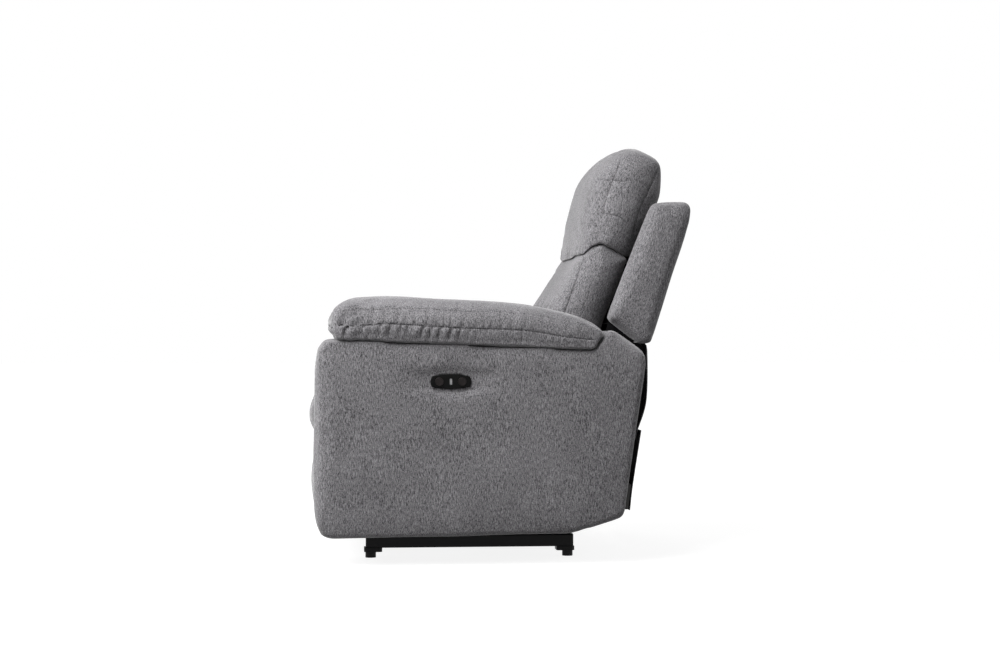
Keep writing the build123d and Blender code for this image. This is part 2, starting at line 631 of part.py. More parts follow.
STRAP_WIDTH, STRAP_COUNT, STRAP_PITCH = 60, 5, 84
with BuildPart() as back_webbing:
    with BuildSketch(back_plane):
        with Locations(*[(0, 110 + i * STRAP_PITCH) for i in range(STRAP_COUNT)]):
            Rectangle(2 * (STILE_X + STILE_WIDTH), STRAP_WIDTH)
    extrude(amount=2)
keep(back_webbing, "back_webbing")

with BuildPart() as back_brackets:
    with BuildSketch(Plane.YZ.offset(LAYER_MAIN)):
        with Locations(BACK_HINGE):
            Circle(16)
        with Locations((212, 372), (268, 530), (290, 530)):
            Circle(8)
        make_hull()
        with Locations(BACK_HINGE):
            Circle(PIN_RADIUS + PIN_PLAY, mode=Mode.SUBTRACT)
    extrude(amount=SHEET)
    with BuildSketch(Plane.YZ.offset(STILE_X + STILE_WIDTH)):
        with Locations((228, 400), (272, 515)):
            Circle(5)
    extrude(amount=SHEET)
    mirror(about=Plane.YZ)
keep(back_brackets, "back_brackets")

WING_CORNERS = [
    (373, 870, 8, -10), (471, 874, -8, -10), (466, 828, -8, 0), (367, 524, -5, 8),
    (342, 524, 2, 8), (262, 584, 8, 6), (268, 604, 8, 0),
]
WING_RADII = [20, 18, 60, 9, 8, 8, 8]
WING_STATIONS = [(WING_INNER, 0.15), (WING_INNER + 12, 0), (WING_OUTER - 12, 0.15), (WING_OUTER, 1)]
with BuildPart() as back_wing_left:
    padded_loft(WING_CORNERS, WING_RADII, WING_STATIONS)
keep(back_wing_left, "back_wing_left")

with BuildPart() as back_wing_right:
    mirror(back_wing_left.part, about=Plane.YZ)
keep(back_wing_right, "back_wing_right")

PANEL_CORNERS = [
    (442, 872, 0, 0), (466, 872, 3, 0), (462, 828, 3, 0), (362, 526, 3, 0), (334, 526, 0, 0),
]
PANEL_HALF = WING_INNER - SEAM_GAP
with BuildPart() as back_panel:
    padded_loft(PANEL_CORNERS, [8, 14, 60, 8, 6], [(-PANEL_HALF, 0), (0, 1), (PANEL_HALF, 0)])
keep(back_panel, "back_panel")

with BuildPart() as back_skirt:
    with BuildSketch(Plane.YZ.offset(-253)):
        with BuildLine():
            Polyline(
                (352, 526), (362, 505), (360, 382), (338, 308), (332, 284), (336, 284), (342, 308),
                (364, 382), (366, 505), (356, 526), close=True
            )
        make_face()
    extrude(amount=506)
keep(back_skirt, "back_skirt")

# Stiff cloth linings close the sides of the back between its stiles, panel and skirt
LINING_THICK = 3
with BuildPart() as back_lining_left:
    with BuildSketch(Plane.YZ.offset(STILE_X + STILE_WIDTH)):
        with BuildLine():
            Polyline(
                (230, 380), (356, 384), (360, 505), (348, 525), (333, 525), (417, 795), (372, 795),
                (338, 735), (272, 588), (260, 540), (284, 515), close=True
            )
        make_face()
    extrude(amount=LINING_THICK)
keep(back_lining_left, "back_lining_left")

with BuildPart() as back_lining_right:
    mirror(back_lining_left.part, about=Plane.YZ)
keep(back_lining_right, "back_lining_right")

VALLEY = [(188, 724), (238, 790), (328, 736)]
LUMBAR_CORNERS = [
    (112, 484, 14, 4), (98, 588, 26, 0), (*VALLEY[0], 14, 0), (*VALLEY[1], 0, -12),
    (*VALLEY[2], -6, -4), (262, 588, -4, 0), (236, 484, -4, 4),
]
LUMBAR_RADII = [24, 84, 14, 34, 10, 60, 12]
with BuildPart() as lumbar_cushion:
    padded_loft(LUMBAR_CORNERS, LUMBAR_RADII, crowned(0, BACK_HALF))
keep(lumbar_cushion, "lumbar_cushion")

HEAD_CORNERS = [
    (191, 731, 14, 0), (212, 835, 22, 0), (246, 950, 24, -8), (323, 1036, 0, -26),
    (419, 990, -12, -14), (410, 900, -12, 0), (332, 740, -6, -4), (238, 794.5, 0, -12),
]
HEAD_RADII = [3, 110, 110, 60, 36, 90, 8, 37]
with BuildPart() as headrest_cushion:
    padded_loft(HEAD_CORNERS, HEAD_RADII, crowned(0, HEAD_HALF))
keep(headrest_cushion, "headrest_cushion")
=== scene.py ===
"""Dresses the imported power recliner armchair: filled and sewn covers over its cushions, painted
steel, moulded plastic and planed timber. Metres, front towards -Y, floor at z = 0."""

import json
import math

import bmesh
import bpy
import numpy as np
from mathutils import Matrix, Vector, geometry, noise
from mathutils.bvhtree import BVHTree


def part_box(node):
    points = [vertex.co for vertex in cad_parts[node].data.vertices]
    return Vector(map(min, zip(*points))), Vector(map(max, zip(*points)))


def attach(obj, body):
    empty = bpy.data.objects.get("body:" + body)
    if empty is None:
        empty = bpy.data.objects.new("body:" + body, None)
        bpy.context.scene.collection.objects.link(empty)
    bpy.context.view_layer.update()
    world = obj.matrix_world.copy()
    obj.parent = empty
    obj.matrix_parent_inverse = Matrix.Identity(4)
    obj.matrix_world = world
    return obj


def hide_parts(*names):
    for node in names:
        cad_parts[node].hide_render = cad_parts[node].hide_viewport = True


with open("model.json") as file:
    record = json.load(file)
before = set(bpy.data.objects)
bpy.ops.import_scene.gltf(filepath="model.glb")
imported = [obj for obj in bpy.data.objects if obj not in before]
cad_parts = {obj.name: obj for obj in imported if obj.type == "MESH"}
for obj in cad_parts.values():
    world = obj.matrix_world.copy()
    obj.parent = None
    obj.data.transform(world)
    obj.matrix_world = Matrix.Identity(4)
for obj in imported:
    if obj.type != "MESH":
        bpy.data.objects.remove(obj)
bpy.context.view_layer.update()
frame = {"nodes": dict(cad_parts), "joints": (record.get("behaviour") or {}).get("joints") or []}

parts = frame["nodes"]

# -------- camera, floor and light
# A studio: the camera looks square at the chair's left side from a little towards its front.
# A white sweep lies under and behind it, and large soft boxes light it, most from the front.
CAMERA_AZIMUTH, CAMERA_DISTANCE, CAMERA_HEIGHT = math.radians(85), 5.0, 0.548
SENSOR_MM, LENS_MM = 36, 69.2
AIM = Vector((0, 0.02, CAMERA_HEIGHT))
LAMPS_AIM = Vector((0, 0, 0.5))


def added(name, data):
    """New object of the data, in the scene."""
    thing = bpy.data.objects.new(name, data)
    bpy.context.scene.collection.objects.link(thing)
    return thing


towards_camera = Vector((math.sin(CAMERA_AZIMUTH), -math.cos(CAMERA_AZIMUTH), 0))
camera = added("camera", bpy.data.cameras.new("camera"))
camera.data.sensor_width, camera.data.lens = SENSOR_MM, LENS_MM
camera.location = AIM + CAMERA_DISTANCE * towards_camera
camera.rotation_euler = (-towards_camera).to_track_quat("-Z", "Y").to_euler()
bpy.context.scene.camera = camera
bpy.context.scene.view_settings.view_transform = "Standard"


def soft_box(name, place, size, power):
    """Square area lamp at a place, turned to the chair's middle."""
    lamp = added(name, bpy.data.lights.new(name, "AREA"))
    lamp.data.shape = "SQUARE"
    lamp.data.size = size
    lamp.data.energy = power
    lamp.location = place
    lamp.rotation_euler = (LAMPS_AIM - Vector(place)).to_track_quat("-Z", "Y").to_euler()


soft_box("front_box", (0.5, -3.2, 2.4), size=1.8, power=105)
soft_box("top_box", (1.35, -0.9, 2.5), size=1.0, power=52)
soft_box("side_box", (2.2, -1.3, 1.9), size=1.2, power=36)
soft_box("far_box", (-3.2, -1.0, 2.2), size=2.0, power=40)
soft_box("rear_box", (-0.6, 3.4, 2.2), size=1.8, power=30)


def seen_directly(nodes, links):
    """1 for rays from the camera, straight or by way of gloss or glass, and 0 for the rest."""
    path = nodes.new("ShaderNodeLightPath")
    total = path.outputs["Is Camera Ray"]
    for kind in ("Is Glossy Ray", "Is Transmission Ray"):
        larger = nodes.new("ShaderNodeMath")
        larger.operation = "MAXIMUM"
        links.new(total, larger.inputs[0])
        links.new(path.outputs[kind], larger.inputs[1])
        total = larger.outputs[0]
    return total


# The floor glows a little to rays from the camera, less near the chair than far from it.
ROOM_LIGHT, FLOOR_TONE, NEAR_GLOW, NEAR, FAR = 0.22, 0.25, 0.88, 1.0, 2.4
room = bpy.data.worlds.new("room")
bpy.context.scene.world = room
room.use_nodes = True
nodes, links = room.node_tree.nodes, room.node_tree.links
ambient, seen = nodes["Background"], nodes.new("ShaderNodeBackground")
either = nodes.new("ShaderNodeMixShader")
ambient.inputs["Color"].default_value = seen.inputs["Color"].default_value = (1, 1, 1, 1)
ambient.inputs["Strength"].default_value = ROOM_LIGHT
links.new(seen_directly(nodes, links), either.inputs["Fac"])
links.new(ambient.outputs[0], either.inputs[1])
links.new(seen.outputs[0], either.inputs[2])
links.new(either.outputs[0], nodes["World Output"].inputs["Surface"])

FLOOR_REACH = 30
floor_mesh = bpy.data.meshes.new("floor")
corners = [(x * FLOOR_REACH, y * FLOOR_REACH, 0) for x, y in ((-1, -1), (1, -1), (1, 1), (-1, 1))]
floor_mesh.from_pydata(corners, [], [(0, 1, 2, 3)])
floor = added("floor", floor_mesh)
sweep = bpy.data.materials.new("white_sweep")
sweep.use_nodes = True
nodes, links = sweep.node_tree.nodes, sweep.node_tree.links
paper = nodes["Principled BSDF"]
paper.inputs["Base Color"].default_value = (FLOOR_TONE, FLOOR_TONE, FLOOR_TONE, 1)
paper.inputs["Roughness"].default_value = 1
paper.inputs["Specular IOR Level"].default_value = 0
glow, both = nodes.new("ShaderNodeEmission"), nodes.new("ShaderNodeAddShader")
strength, place = nodes.new("ShaderNodeMath"), nodes.new("ShaderNodeTexCoord")
away, rising = nodes.new("ShaderNodeVectorMath"), nodes.new("ShaderNodeMapRange")
away.operation = "LENGTH"
rising.inputs["From Min"].default_value, rising.inputs["From Max"].default_value = NEAR, FAR
rising.inputs["To Min"].default_value, rising.inputs["To Max"].default_value = NEAR_GLOW, 1
links.new(place.outputs["Object"], away.inputs[0])
links.new(away.outputs["Value"], rising.inputs["Value"])
strength.operation = "MULTIPLY"
links.new(rising.outputs["Result"], strength.inputs[1])
links.new(seen_directly(nodes, links), strength.inputs[0])
links.new(strength.outputs[0], glow.inputs["Strength"])
links.new(paper.outputs[0], both.inputs[0])
links.new(glow.outputs[0], both.inputs[1])
links.new(both.outputs[0], nodes["Material Output"].inputs["Surface"])
floor_mesh.materials.append(sweep)

# -------- steel base
# Two square tubes and two cross tubes, cut, welded and powder coated black, on four levelling
# feet. Pressed plates stand on the tubes and take the arms on hexagon bolts.


def finish(name, roughness, metallic=0.0, gloss=0.5):
    """New material; returns it with its nodes, links, shader and Object coordinates."""
    material = bpy.data.materials.new(name)
    material.use_nodes = True
    nodes, links = material.node_tree.nodes, material.node_tree.links
    shader = nodes["Principled BSDF"]
    shader.inputs["Roughness"].default_value = roughness
    shader.inputs["Metallic"].default_value = metallic
    shader.inputs["Specular IOR Level"].default_value = gloss
    return material, nodes, links, shader, nodes.new("ShaderNodeTexCoord").outputs["Object"]


def speckle(nodes, links, place, scale, stretch=(1, 1, 1), detail=3.0, turn=0.0):
    """Noise of so many grains a metre, drawn out along the axes whose stretch is small."""
    mapping, grain = nodes.new("ShaderNodeMapping"), nodes.new("ShaderNodeTexNoise")
    mapping.vector_type = "TEXTURE"
    mapping.inputs["Rotation"].default_value = (turn, 0, 0)
    mapping.inputs["Scale"].default_value = [1 / share for share in stretch]
    grain.inputs["Scale"].default_value = scale
    grain.inputs["Detail"].default_value = detail
    links.new(place, mapping.inputs["Vector"])
    links.new(mapping.outputs["Vector"], grain.inputs["Vector"])
    return grain.outputs["Fac"]


def weighed(nodes, links, terms):
    """Weighted sum of several factors, as [(weight, factor), ...]."""
    total = None
    for weight, factor in terms:
        step = nodes.new("ShaderNodeMath")
        step.operation = "MULTIPLY_ADD"
        step.inputs[1].default_value = weight
        step.inputs[2].default_value = 0
        links.new(factor, step.inputs[0])
        if total:
            links.new(total, step.inputs[2])
        total = step.outputs[0]
    return total


def toned(nodes, links, factor, stops):
    """Colour ramp over a factor, as [(position, (r, g, b)), ...]."""
    ramp = nodes.new("ShaderNodeValToRGB")
    first, last = ramp.color_ramp.elements
    first.position, last.position = stops[0][0], stops[-1][0]
    first.color, last.color = (*stops[0][1], 1), (*stops[-1][1], 1)
    for position, colour in stops[1:-1]:
        ramp.color_ramp.elements.new(position).color = (*colour, 1)
    links.new(factor, ramp.inputs["Fac"])
    return ramp.outputs["Color"]


def relief(nodes, links, shader, height, depth):
    """Bump of a height factor on the shader's normal, depth in metres."""
    bump = nodes.new("ShaderNodeBump")
    bump.inputs["Distance"].default_value = depth
    links.new(height, bump.inputs["Height"])
    links.new(bump.outputs["Normal"], shader.inputs["Normal"])


DARK_STOP, LIGHT_STOP = 0.32, 0.7
BLACK = (0.003, 0.003, 0.003)


def two_toned(name, dark, light, roughness, patch, grain, depth, metallic=0, stretch=(1, 1, 1), gloss=0.5):
    """Finish of two close tones in so many patches a metre, with a fine grain in its surface."""
    material, nodes, links, shader, place = finish(name, roughness, metallic, gloss)
    patches = speckle(nodes, links, place, scale=patch, stretch=stretch)
    colour = toned(nodes, links, patches, [(DARK_STOP, dark), (LIGHT_STOP, light)])
    links.new(colour, shader.inputs["Base Color"])
    relief(nodes, links, shader, speckle(nodes, links, place, scale=grain, stretch=stretch, detail=2), depth)
    return material


def dress(material, *names):
    """Puts a material on CAD nodes, whose shapes stay."""
    for name in names:
        parts[name].data.materials.clear()
        parts[name].data.materials.append(material)


powder_coat = two_toned("black_powder_coat", BLACK, (0.008, 0.008, 0.009), roughness=0.4, patch=9,
                        grain=900, depth=0.00015, gloss=0.12)
black_plastic = two_toned("black_plastic", BLACK, (0.008, 0.008, 0.008), roughness=0.5, patch=24,
                          grain=1600, depth=0.00008, gloss=0.16)
zinc = two_toned("zinc_plate", (0.42, 0.41, 0.38), (0.66, 0.65, 0.62), roughness=0.34, metallic=1, patch=60,
                 grain=1400, depth=0.00005)
dress(powder_coat, "base_rails", "base_cross_tubes", "foot_brackets", "base_plate_left", "base_plate_right")
dress(black_plastic, "rail_end_caps", "foot_front_left", "foot_front_right", "foot_rear_left",
      "foot_rear_right")


def plain_mesh(worker):
    """Turns an object with live modifiers into one plain mesh."""
    finished = bpy.data.meshes.new_from_object(worker.evaluated_get(bpy.context.evaluated_depsgraph_get()))
    worker.modifiers.clear()
    worker.data = finished
    return worker


def new_tree(name, inputs, output):
    """Geometry tree with inputs of (label, kind) and one geometry output; returns it with its
    nodes, its link function and its two end nodes."""
    tree = bpy.data.node_groups.new(name, "GeometryNodeTree")
    for label, kind in inputs:
        tree.interface.new_socket(label, in_out="INPUT", socket_type="NodeSocket" + kind)
    tree.interface.new_socket(output, in_out="OUTPUT", socket_type="NodeSocketGeometry")
    given, made = tree.nodes.new("NodeGroupInput"), tree.nodes.new("NodeGroupOutput")
    return tree, tree.nodes, tree.links.new, given, made


def end_tree(nodes, link, instances, material, output):
    """Makes a tree's instances real, gives them their material and links them to its output."""
    real, coated = nodes.new("GeometryNodeRealizeInstances"), nodes.new("GeometryNodeSetMaterial")
    coated.inputs["Material"].default_value = material
    link(instances, real.inputs["Geometry"])
    link(real.outputs["Geometry"], coated.inputs["Geometry"])
    link(coated.outputs["Geometry"], output)


def grown(piece, tree, wanted):
    """Runs a tree on a piece, with input values by label, and keeps the result as a plain mesh."""
    setting = piece.modifiers.new(tree.name, "NODES")
    setting.node_group = tree
    for item in tree.interface.items_tree:
        if item.name in wanted:
            setting[item.identifier] = wanted[item.name]
    plain_mesh(piece)


def heads_tree(name, material):
    """Geometry tree that sets a fastener's head on every point, along the point's outward vector:
    a flattened ball where it is domed, as on rivets, or else a hexagon, as on bolts."""
    tree, nodes, link, given, made = new_tree(
        name, (("Points", "Geometry"), ("Radius", "Float"), ("Height", "Float"), ("Domed", "Bool")), "Heads")
    ball, flat = nodes.new("GeometryNodeMeshUVSphere"), nodes.new("GeometryNodeTransform")
    pill = nodes.new("ShaderNodeCombineXYZ")
    ball.inputs["Segments"].default_value, ball.inputs["Rings"].default_value = 20, 10
    link(given.outputs["Radius"], pill.inputs["X"])
    link(given.outputs["Radius"], pill.inputs["Y"])
    link(given.outputs["Height"], pill.inputs["Z"])
    link(ball.outputs["Mesh"], flat.inputs["Geometry"])
    link(pill.outputs[0], flat.inputs["Scale"])
    nut = nodes.new("GeometryNodeMeshCylinder")
    nut.inputs["Vertices"].default_value = 6
    link(given.outputs["Radius"], nut.inputs["Radius"])
    link(given.outputs["Height"], nut.inputs["Depth"])
    pick = nodes.new("GeometryNodeSwitch")
    pick.input_type = "GEOMETRY"
    link(given.outputs["Domed"], pick.inputs["Switch"])
    link(nut.outputs["Mesh"], pick.inputs["False"])
    link(flat.outputs["Geometry"], pick.inputs["True"])
    outward = nodes.new("GeometryNodeInputNamedAttribute")
    outward.data_type = "FLOAT_VECTOR"
    outward.inputs["Name"].default_value = "outward"
    turned = nodes.new("FunctionNodeAlignRotationToVector")
    link(outward.outputs["Attribute"], turned.inputs["Vector"])
    placed = nodes.new("GeometryNodeInstanceOnPoints")
    link(given.outputs["Points"], placed.inputs["Points"])
    link(pick.outputs["Output"], placed.inputs["Instance"])
    link(turned.outputs["Rotation"], placed.inputs["Rotation"])
    end_tree(nodes, link, placed.outputs["Instances"], material, made.inputs["Heads"])
    return tree


zinc_heads = heads_tree("zinc_heads", zinc)


def heads(name, body, spots, radius, height, domed=True):
    """Zinc-plated fastener heads of one body at (point, outward) spots."""
    cloud = bpy.data.meshes.new(name)
    cloud.from_pydata([tuple(point) for point, _ in spots], [], [])
    outward = cloud.attributes.new("outward", "FLOAT_VECTOR", "POINT")
    outward.data.foreach_set("vector", [c for _, direction in spots for c in direction])
    piece = added(name, cloud)
    grown(piece, zinc_heads, {"Radius": radius, "Height": height, "Domed": domed})
    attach(piece, body)


PLATE_THICKNESS, BOLT_RADIUS, BOLT_HEIGHT = 0.004, 0.0065, 0.003
BOLT_PLACES = ((-0.3, 0.096), (-0.06, 0.112), (0.03, 0.112), (0.16, 0.12))
plate_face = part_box("base_plate_left")[1].x - PLATE_THICKNESS
heads("arm_bolt_heads", "base",
      [((side * (plate_face - BOLT_HEIGHT / 2), y, z), (-side, 0, 0))
       for side in (1, -1) for y, z in BOLT_PLACES],
      radius=BOLT_RADIUS, height=BOLT_HEIGHT, domed=False)

# -------- arms
# Each arm is a plywood box under thin foam. Its cover is stapled under the base, where it draws
# into shallow folds. The cloth is woven from yarns of several greys, with upright slubs, a ribbed
# weave and a soft nap that catches light at the edges.


def melange_cloth(name, dark, light, lean=0.0):
    """Woven upholstery cloth between two greys; lean tilts its warp in the side view."""
    material, nodes, links, shader, place = finish(name, 0.95, gloss=0.2)
    shader.inputs["Sheen Weight"].default_value = 0.4
    shader.inputs["Sheen Roughness"].default_value = 0.4
    slubs = speckle(nodes, links, place, scale=700, stretch=(1, 1, 0.16), detail=2, turn=lean)
    flecks = speckle(nodes, links, place, scale=620, stretch=(1, 1, 0.6), detail=3, turn=lean)
    drift = speckle(nodes, links, place, scale=9, detail=3)
    tone = weighed(nodes, links, [(0.5, slubs), (0.42, flecks), (0.08, drift)])
    middle = tuple(0.55 * a + 0.45 * b for a, b in zip(dark, light))
    colour = toned(nodes, links, tone, [(0.38, dark), (0.5, middle), (0.62, light)])
    links.new(colour, shader.inputs["Base Color"])
    ribs = []
    for axis in "XYZ":
        wave = nodes.new("ShaderNodeTexWave")
        wave.bands_direction = axis
        wave.inputs["Scale"].default_value = 210
        wave.inputs["Distortion"].default_value = 1.5
        wave.inputs["Detail Scale"].default_value = 2
        links.new(place, wave.inputs["Vector"])
        ribs.append((0.2, wave.outputs["Fac"]))
    relief(nodes, links, shader, weighed(nodes, links, ribs + [(0.7, flecks)]), 0.0004)
    return material


DARK_YARN, LIGHT_YARN = (0.03, 0.0292, 0.0312), (0.295, 0.287, 0.3)
cover_cloth = melange_cloth("grey_melange_cloth", DARK_YARN, LIGHT_YARN)


def skin_of(node, name, voxel):
    """Closed even skin over a CAD solid, as a new object."""
    mesh = parts[node].data.copy()
    shell = bmesh.new()
    shell.from_mesh(mesh)
    bmesh.ops.remove_doubles(shell, verts=shell.verts, dist=1e-5)
    bmesh.ops.recalc_face_normals(shell, faces=shell.faces)
    shell.to_mesh(mesh)
    shell.free()
    mesh.materials.clear()
    skin = added(name, mesh)
    remesh = skin.modifiers.new("even", "REMESH")
    remesh.mode = "VOXEL"
    remesh.voxel_size = voxel
    return plain_mesh(skin)


def triples(values, kind):
    """A mesh's positions or normals as an array with one row each."""
    flat = np.empty(len(values) * 3)
    values.foreach_get(kind, flat)
    return flat.reshape(-1, 3)


def points_of(piece):
    """Vertex positions of a piece."""
    return triples(piece.data.vertices, "co")


def normals_of(piece):
    """Vertex normals of a piece."""
    return triples(piece.data.vertex_normals, "vector")


def move_to(piece, points):
    """Sets a piece's vertex positions."""
    piece.data.vertices.foreach_set("co", points.ravel())
    piece.data.update()


def ease(value, start, end):
    """0 up to start, 1 from end on, and a smooth rise between them; start may be above end."""
    t = np.clip((value - start) / (end - start), 0, 1)
    return t * t * (3 - 2 * t)


def rounded(piece, reach, share, low, high=np.inf):
    """Narrows a cushion across the chair towards its side-view outline, so that its sides bulge
    like domes; only along the outline's edges between two heights."""
    points = points_of(piece)
    flat = [Vector(p[1:]) for p in points]
    rim = points[geometry.convex_hull_2d(flat), 1:]
    edge = np.zeros(len(points))
    for a, b in zip(rim, np.roll(rim, -1, axis=0)):
        length = np.linalg.norm(b - a)
        if length > 1e-5 and low < (a[1] + b[1]) / 2 < high:
            inside = abs((b - a)[0] * (points[:, 2] - a[1]) - (b - a)[1] * (points[:, 1] - a[0])) / length
            edge = np.maximum(edge, 1 - inside / reach)
    points[:, 0] *= 1 - share * (1 - np.sqrt(1 - np.clip(edge, 0, 1) ** 2))
    move_to(piece, points)


FILLING_PRESSURE, FILLING_FRAMES = 4.0, 20


def fill(piece, tuck, cap, held, press=0.0):
    """Blows the skin up as its filling does: drawn in by tuck, then swollen by at most cap. Where
    held gives 1 for the points, the cover is stapled or sewn down: it stays on the solid, or
    stands press proud of it where two pieces are pressed together."""
    solid, outwards = points_of(piece), normals_of(piece)
    fixed = held(solid, outwards)
    start = solid - (tuck * (1 - fixed) - press * fixed)[:, None] * outwards
    move_to(piece, start)
    pinned = piece.vertex_groups.new(name="held")
    pinned.add([int(i) for i in np.nonzero(fixed > 0.5)[0]], 1.0, "REPLACE")
    cloth = piece.modifiers.new("filling", "CLOTH")
    cloth.settings.quality = 4
    cloth.settings.mass = 0.2
    cloth.settings.tension_stiffness = cloth.settings.compression_stiffness = 12
    cloth.settings.shear_stiffness = 6
    cloth.settings.bending_stiffness = 0.4
    cloth.settings.use_pressure = True
    cloth.settings.uniform_pressure_force = FILLING_PRESSURE
    cloth.settings.vertex_group_mass = "held"
    cloth.settings.effector_weights.gravity = 0
    cloth.point_cache.frame_start, cloth.point_cache.frame_end = 1, FILLING_FRAMES
    for moment in range(1, FILLING_FRAMES + 1):
        bpy.context.scene.frame_set(moment)
    plain_mesh(piece)
    bpy.context.scene.frame_set(1)
    piece.vertex_groups.clear()
    swell = points_of(piece) - start
    reach = np.maximum(np.linalg.norm(swell, axis=1, keepdims=True), 1e-9)
    move_to(piece, start + swell * (cap * np.tanh(reach / cap) / reach))
    finer = piece.modifiers.new("finer", "SUBSURF")
    finer.levels = finer.render_levels = 1
    plain_mesh(piece)
    smooth(piece)


def smooth(piece):
    """Shades a piece smoothly."""
    piece.data.polygons.foreach_set("use_smooth", [True] * len(piece.data.polygons))


def beside(points, path, reach):
    """1 for points next to a side-view path of (y, z), easing to 0 at reach from it."""
    gap = np.full(len(points), np.inf)
    for a, b in zip(np.array(path), np.array(path[1:])):
        along = np.clip((points[:, 1:] - a) @ (b - a) / ((b - a) @ (b - a)), 0, 1)
        gap = np.minimum(gap, np.linalg.norm(points[:, 1:] - a - along[:, None] * (b - a), axis=1))
    return ease(gap, reach, 0.6 * reach)


def rumple(piece, height, size, seed=0):
    """Soft unevenness of hand-laid wadding: height either way, in swells of a given size."""
    points, normals = points_of(piece), normals_of(piece)
    shift = Vector((seed * 3.7, seed * 1.9, 0))
    lift = np.array([noise.noise(Vector(p) / size + shift) for p in points])
    move_to(piece, points + (height * lift)[:, None] * normals)


def smooth_line(corners, step=0.004):
    """Evenly spaced points on a smooth curve through the corners."""
    corners = np.array(corners, float)
    ends = np.vstack([2 * corners[0] - corners[1], corners, 2 * corners[-1] - corners[-2]])
    line = []
    for a, b, c, d in zip(ends, ends[1:], ends[2:], ends[3:]):
        for t in np.linspace(0, 1, 24, endpoint=False):
            line.append(0.5 * (2 * b + (c - a) * t + (2 * a - 5 * b + 4 * c - d) * t**2
                               + (3 * b - a - 3 * c + d) * t**3))
    line = np.array(line + [corners[-1]])
    along = lengths(line)
    even = np.linspace(0, along[-1], max(2, int(along[-1] / step)))
    return np.column_stack([np.interp(even, along, line[:, i]) for i in range(3)])


def lengths(line):
    """Distance along a line to each of its points."""
    return np.concatenate([[0], np.cumsum(np.linalg.norm(np.diff(line, axis=0), axis=1))])


def laid_on(piece, line):
    """The line's points moved to the nearest places on the piece's surface."""
    tree = BVHTree.FromObject(piece, bpy.context.evaluated_depsgraph_get())
    return np.array([tree.find_nearest(Vector(p))[0] for p in line])


def on_sides(piece, corners, sides=(1, -1)):
    """Seams drawn in the side view as (y, z), found on the piece's left and right faces."""
    tree = BVHTree.FromObject(piece, bpy.context.evaluated_depsgraph_get())
    seams = []
    for side in sides:
        hits = [tree.ray_cast(Vector((side, y, z)), Vector((-side, 0, 0)))[0] for y, z in corners]
        seams.append([tuple(hit) for hit in hits if hit])
    return seams


def near_line(points, line, reach):
    """The points within reach of a line: which they are, how far off, and how far along it."""
    block = 4000
    low, high = line.min(0) - reach, line.max(0) + reach
    near = np.nonzero(np.all((points > low) & (points < high), axis=1))[0]
    along = lengths(line)
    away, place = np.empty(len(near)), np.empty(len(near))
    for first in range(0, len(near), block):
        some = points[near[first:first + block]]
        gaps = np.linalg.norm(some[:, None, :] - line[None, :, :], axis=2)
        closest = gaps.argmin(1)
        away[first:first + block] = gaps[np.arange(len(some)), closest]
        place[first:first + block] = along[closest]
    inside = away < reach
    return near[inside], away[inside], place[inside], along


SEAM_EDGE, FOLD_EDGE, SEAM_END, FOLD_END = 0.0013, 0.0026, 0.012, 0.03
PUCKER_PITCHES = (0.021, 0.034, 0.013)


def refined(piece, lines, reach, finest):
    """Cuts the mesh finer near lines on it, where its edges are longer than finest, so that narrow
    seams and folds can be drawn in."""
    for _ in range(2):
        shape = bmesh.new()
        shape.from_mesh(piece.data)
        points = points_of(piece)
        near = np.zeros(len(points), bool)
        for line in lines:
            near[near_line(points, line, reach)[0]] = True
        edges = [edge for edge in shape.edges
                 if near[edge.verts[0].index] and near[edge.verts[1].index] and edge.calc_length() > finest]
        bmesh.ops.subdivide_edges(shape, edges=edges, cuts=1, use_grid_fill=True)
        shape.to_mesh(piece.data)
        shape.free()
        reach *= 0.6
    smooth(piece)


def sew(piece, seams, depth=0.003, width=0.0016, pillow=0.0025, spread=0.01, pucker=0.0006, seed=1):
    """Draws the cover in along seams, given as lists of corners: a narrow groove, with the cloth
    rolling down to it on both sides and small puckers beside it."""
    lines = [laid_on(piece, smooth_line(corners)) for corners in seams]
    refined(piece, lines, 3.5 * width, SEAM_EDGE)
    draw = np.random.default_rng(seed)
    for line in lines:
        points, normals = points_of(piece), normals_of(piece)
        near, away, place, along = near_line(points, line, 2.6 * spread)
        phases = draw.uniform(0, 2 * math.pi, 3)
        ripple = sum(np.sin(2 * math.pi * place / pitch + phase)
                     for pitch, phase in zip(PUCKER_PITCHES, phases)) / 3
        ends = np.clip(np.minimum(place, along[-1] - place) / SEAM_END, 0.25, 1)
        fall = depth * np.exp(-(away / width) ** 2) + pillow * np.exp(-(away / spread) ** 2)
        rise = pucker * ripple * np.exp(-((away - 0.6 * spread) / (0.6 * spread)) ** 2)
        points[near] -= normals[near] * (ends * (fall - rise))[:, None]
        move_to(piece, points)


